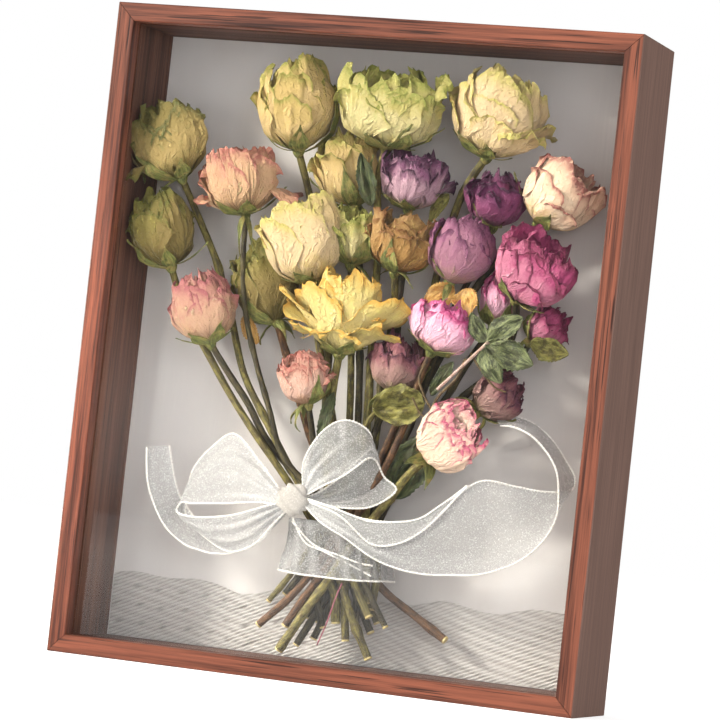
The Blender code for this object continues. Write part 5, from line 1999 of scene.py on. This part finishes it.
RIBBON: Dict[str, Tuple[Band, ...]] = {
    "bow_loop_left": (Band((((-24, -13, 85), (-23, -12, 81)), ((-35, -15.5, 81), (-29, -14, 73)),
        ((-48, -16.5, 76), (-37, -14.5, 63)), ((-63, -16.5, 73), (-51, -12, 58)),
        ((-75, -15.5, 73), (-68, -8, 65)), ((-80, -12.5, 75), (-78, -4, 72)),
        ((-79, -9.5, 79), (-80, -1, 84)), ((-74, -10, 79), (-79, 1, 96)),
        ((-65, -10.5, 80), (-71, 1, 107)), ((-54, -11.5, 81), (-58, -3, 115)),
        ((-40, -12.5, 83), (-43, -6, 104)), ((-26, -12.5, 83), (-29, -10, 91))), 1.3, 3, 1, True),),
    "bow_loop_right": (Band((((-14, -13, 89), (-16, -13, 93)), ((-4, -15.2, 95), (-16, -15, 105)),
        ((5, -16.4, 100), (-11, -16, 116)), ((12, -15.8, 106), (-4, -15.5, 124)),
        ((16, -13, 110), (4, -12.5, 127)), ((19, -10, 109), (13, -9, 123)),
        ((23, -8, 102), (14, -6, 115)), ((30, -8.5, 96), (5, -5, 106)), ((19, -10.5, 87), (-1, -7, 98)),
        ((4, -12, 85), (-9, -9, 91)), ((-12, -12, 86), (-15, -11, 88))), 0.8, 2.5, 0.8, True),),
    "ribbon_tail_left": (Band((((-25, -10, 82), (-23, -9, 80)), ((-36, -8, 65), (-35, -3, 71)),
        ((-48, -7, 58), (-55, 1, 63)), ((-61, -6.5, 56), (-67, 3, 65)), ((-69, -6.5, 57), (-74, 4, 69)),
        ((-77, -6.5, 59), (-80, 4.5, 75)), ((-87, -7, 66), (-85, 4.5, 80)),
        ((-94, -7.5, 76), (-89, 4, 88)), ((-99, -8, 88), (-92, 3.5, 98)),
        ((-101, -9, 104), (-94, 3, 106))), 0.5, 1.5, 0.5),),
    "ribbon_tail_right": (Band((((-16, -13.5, 86), (-15, -13, 88)), ((-4, -15, 77), (0, -15, 85)),
        ((9, -15.5, 71), (17, -16, 81)), ((24, -15.5, 63), (34, -16.5, 81)),
        ((38, -15, 59), (46, -16, 84)), ((51, -14.5, 58), (55, -15.5, 91)),
        ((63, -14, 59), (63, -15, 97)), ((78, -13.5, 61), (74, -13, 105)),
        ((94, -12.5, 68), (89, -8, 104)), ((105, -11.5, 78), (102, -3, 103)),
        ((111, -10.5, 90), (113, 3, 105)), ((111, -9.5, 102), (113, 8, 111)),
        ((108, -8, 114), (107, 10, 119)), ((101, -7, 123), (99, 11, 128)),
        ((93, -6, 129), (89, 11, 135)), ((84, -5, 132), (77, 11, 138)),
        ((77, -4, 132), (68, 10, 139))), 0.4, 2, 0.7),
        Band((((-12, -14.5, 87), (-11, -15, 86)), ((0, -15.8, 85), (6, -16.6, 81)),
        ((12, -16.4, 82), (20, -17, 71)), ((22, -16.6, 80), (28, -17.1, 69)),
        ((34, -16.6, 81), (39, -17.1, 72)), ((46, -16.2, 84), (49, -16.9, 79)),
        ((55, -15.7, 91), (57, -16.4, 88)), ((62, -15.2, 97), (63, -15.7, 96)),
        ((67, -14.5, 102), (68, -15, 102))), 0.2, 1.5, 0.3)),
}


@dataclass
class Bow:
    """The sheer ribbon: two loops, two tails, the knot and the turn round the stems.

    Attributes:
        width: Width of the flat ribbon.
        cord: Radius of the twisted cord along its edges.
        pitch: Length of one twist.
        knot, knot_half: Middle and half sizes of the knot in millimetres.
        patch: Grid of a band.
        bands: Bands of each loop and tail.
        wrap_cords: Lines of the cords on the turn round the stems.
    """

    width: float = 30 * MM
    cord: float = 0.5 * MM
    pitch: float = 3.4 * MM
    knot: Point = (-20, -13.7, 86.5)
    knot_half: Point = (8.5, 3.4, 8.5)
    patch: Patch = field(default_factory=lambda: Patch(30, 96))
    bands: Dict[str, Tuple[Band, ...]] = field(default_factory=lambda: RIBBON)
    wrap_cords: Tuple[Tuple[Point, ...], ...] = (
        ((-21, -12.5, 80), (-13, -10.8, 67), (-2, -10.4, 63), (12, -9.6, 58), (22, -8.2, 54)),
        ((-20, -12, 76), (-8, -10.9, 66), (6, -10.4, 62), (16, -9.2, 59.5), (22, -7.5, 59)))

    def surface(self, band: Band) -> Tuple[np.ndarray, np.ndarray, np.ndarray, np.ndarray]:
        """Place the ribbon between its edges and gather it towards the knot.

        Args:
            band: The band.

        Returns:
            The points, the mask, and both edge lines.
        """
        rows = np.array([first + second for first, second in band.edges], float) * MM
        along = 240
        line = smooth_route(rows, along)
        edge_a, edge_b = line[:, :3], line[:, 3:]
        at = self.patch.v * (along - 1)
        a = np.stack([np.interp(at, np.arange(along), edge_a[:, k]) for k in range(3)], axis=1)
        b = np.stack([np.interp(at, np.arange(along), edge_b[:, k]) for k in range(3)], axis=1)
        middle = (edge_a + edge_b) / 2
        run = np.gradient(middle, axis=0)
        run = np.stack([np.interp(at, np.arange(along), run[:, k]) for k in range(3)], axis=1)
        normal = np.cross(run, b - a)
        normal = normal / np.maximum(np.linalg.norm(normal, axis=1), 1e-9)[:, None]
        share = (self.patch.u + 1) / 2
        near = 1 - smooth(self.patch.v, 0.02, 0.45)
        if band.both:
            near = np.maximum(near, smooth(self.patch.v, 0.55, 0.98))
        fade = np.sin(np.pi * share) ** 0.5
        phase = band.pleats * math.tau * share + 1.3 * np.sin(3 * self.patch.v)
        pleat = band.deep * MM * (0.25 + 0.75 * near) * np.sin(phase) * fade
        pleat = pleat * smooth(self.patch.v, 0.0, 0.12)
        if band.both:
            pleat = pleat * smooth(1 - self.patch.v, 0.0, 0.12)
        bulge = band.bulge * MM * np.sin(np.pi * share) * smooth(self.patch.v, 0.05, 0.3)
        points = a * (1 - share)[:, None] + b * share[:, None]
        points = points + normal * (pleat + bulge)[:, None]
        points[:, 1] = np.clip(points[:, 1], INSIDE_GLASS, 20 * MM)
        slope = np.abs(np.cos(phase)) ** 3 * (0.25 + 0.75 * near)
        knotted = smooth(near, 0.75, 1.0)
        dense = np.clip(0.75 * slope * near + 0.6 * knotted + 0.25 * slope, 0, 1)
        return points, np.stack([dense, near, near], axis=1), edge_a, edge_b

    def twisted(self, name: str, lines: Sequence[np.ndarray]) -> bpy.types.Object:
        """Twist two strands into a cord along each line.

        Args:
            name: Name of the cord.
            lines: Lines in metres.

        Returns:
            The cords as one mesh.
        """
        strands = []
        for line in lines:
            length = np.linalg.norm(np.diff(line, axis=0), axis=1).sum()
            spots = smooth_route(line, max(12, int(length / self.pitch * 6)))
            run = np.gradient(spots, axis=0)
            run = run / np.linalg.norm(run, axis=1)[:, None]
            side = np.cross(run, (0.0, 1.0, 0.05))
            side = side / np.linalg.norm(side, axis=1)[:, None]
            other = np.cross(run, side)
            turn = np.arange(len(spots)) / 6 * math.tau
            for start in (0.0, math.pi):
                swing = np.cos(turn + start)[:, None] * side + np.sin(turn + start)[:, None] * other
                strands.append(spots + swing * self.cord * 0.5)
        return Bench.rod(name, strands, self.cord * 0.62, 1)

    def tied(self, organza: bpy.types.Material) -> bpy.types.Object:
        """Model the knot as a pulled lump with folds across it.

        Args:
            organza: Dense ribbon.

        Returns:
            The knot.
        """
        knot, spots = Bench.ball(64, 40)
        knot.name = "ribbon_knot_tied"
        lean = spots[:, 2] * 0.85 + spots[:, 0] * 0.5
        folds = 1 + 0.07 * np.sin(lean * 13 + 2 * spots[:, 0]) \
            + 0.06 * waves(spots[:, 0], spots[:, 2], 5, 3, 3)
        square = np.sign(spots) * np.abs(spots) ** 0.86
        points = square * folds[:, None] * np.array(self.knot_half) * 0.92 * MM
        points = points + np.array(self.knot) * MM
        points[:, 1] = np.maximum(points[:, 1], INSIDE_GLASS)
        Bench.reshape(knot, points)
        return Bench.settle(knot, "sheer_ribbon", organza, node="ribbon_knot")

    def skirt(self, organza: bpy.types.Material, thread: bpy.types.Material) -> None:
        """Model the turn of ribbon round the stems with its cords.

        Args:
            organza: Sheer ribbon.
            thread: The edge cord.
        """
        low, high = (np.array(c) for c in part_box("ribbon_wrap"))
        middle, half = (low + high) / 2, (high - low) / 2
        patch = Patch(160, 30)
        angle = patch.u * math.pi
        flare = 1.0 - 0.10 * smooth(patch.v, 0.0, 0.6)
        folds = 1 + 0.02 * np.sin(angle * 17 + 4 * patch.v) + 0.015 * np.sin(angle * 29)
        blunt = [np.sign(w) * np.abs(w) ** 0.7 for w in (np.cos(angle), np.sin(angle))]
        sag = 1.5 * MM * np.cos(angle * 2)
        x = middle[0] - 1.5 * MM + half[0] * 0.88 * flare * folds * blunt[0]
        y = middle[1] + half[1] * 0.97 * flare * folds * blunt[1]
        z = low[2] + 0.5 * MM + patch.v * (high[2] - low[2] - 1 * MM) + sag * (1 - patch.v) * 0.4
        dense = 0.5 * np.abs(np.sin(angle * 8.5 + 2 * patch.v)) ** 4 + 0.5 * smooth(patch.v, 0.7, 1)
        dense = dense - 0.36
        mask = np.stack([dense, dense, dense], axis=1)
        sheet = patch.shaped("ribbon_wrap_sheer", np.stack([x, y, z], axis=1), mask)
        low_rim = patch.v < 1e-6
        rim = np.stack([x, y, z], axis=1)[low_rim][np.argsort(patch.u[low_rim])]
        lines = [rim] + [np.array(points, float) * MM for points in self.wrap_cords]
        self.hand_over("ribbon_wrap", sheet, lines, organza, thread)

    def hand_over(self, node: str, sheet: bpy.types.Object, lines: Sequence[np.ndarray],
                  organza: bpy.types.Material, thread: bpy.types.Material) -> None:
        """Cord a ribbon's edges and settle both the cords and the ribbon.

        Args:
            node: The node that it stands for.
            sheet: The ribbon.
            lines: Lines of its cords.
        """
        cords = Bench.settle(self.twisted(node + "_cords", lines), "sheer_ribbon", thread)
        Bench.settle(sheet, "sheer_ribbon", organza, node=node)

    def build(self, organza: bpy.types.Material, dense: bpy.types.Material,
              thread: bpy.types.Material) -> None:
        """Build the bow.

        Args:
            organza: Sheer ribbon.
            dense: Ribbon gathered in the knot.
            thread: The edge cord.
        """
        self.tied(dense)
        for name, bands in self.bands.items():
            sheets, lines = [], []
            for band in bands:
                points, mask, edge_a, edge_b = self.surface(band)
                sheets.append(self.patch.shaped("band", points, mask))
                lines += [edge_a, edge_b]
            self.hand_over(name, Bench.join(name + "_sheer", sheets), lines,
                           organza, thread)
        self.skirt(organza, thread)


def main() -> None:
    """Build every sub-assembly in order."""
    logging.basicConfig(level=logging.INFO, format="%(name)s: %(message)s")
    Camera().build()
    Studio().build()
    grain, skin, leaf = grain_group(), petal_group(), leaf_group()
    BoxFrame().build(grain)
    skins = {finish.name: finish.make(leaf) for finish in SKINS}
    petals = {name: tone.make("petals_" + name, skin) for name, tone in TONES.items()}
    routes = StemBundle().spread(ROSES)
    maker = RoseMaker()
    for rose, route in zip(ROSES, routes):
        maker.build(rose, route, petals[rose.tone], skins)
    Backdrop().build(SatinFinish().make(), KnitFinish().make())
    Foliage().build(skins)
    weave = weave_group()
    Bow().build(OrganzaFinish("sheer_organza").make(weave),
                OrganzaFinish("knotted_organza", (190, 183, 176), (223, 218, 212), 0.9).make(weave),
                ThreadFinish().make())


if __name__ == "__main__":
    main()
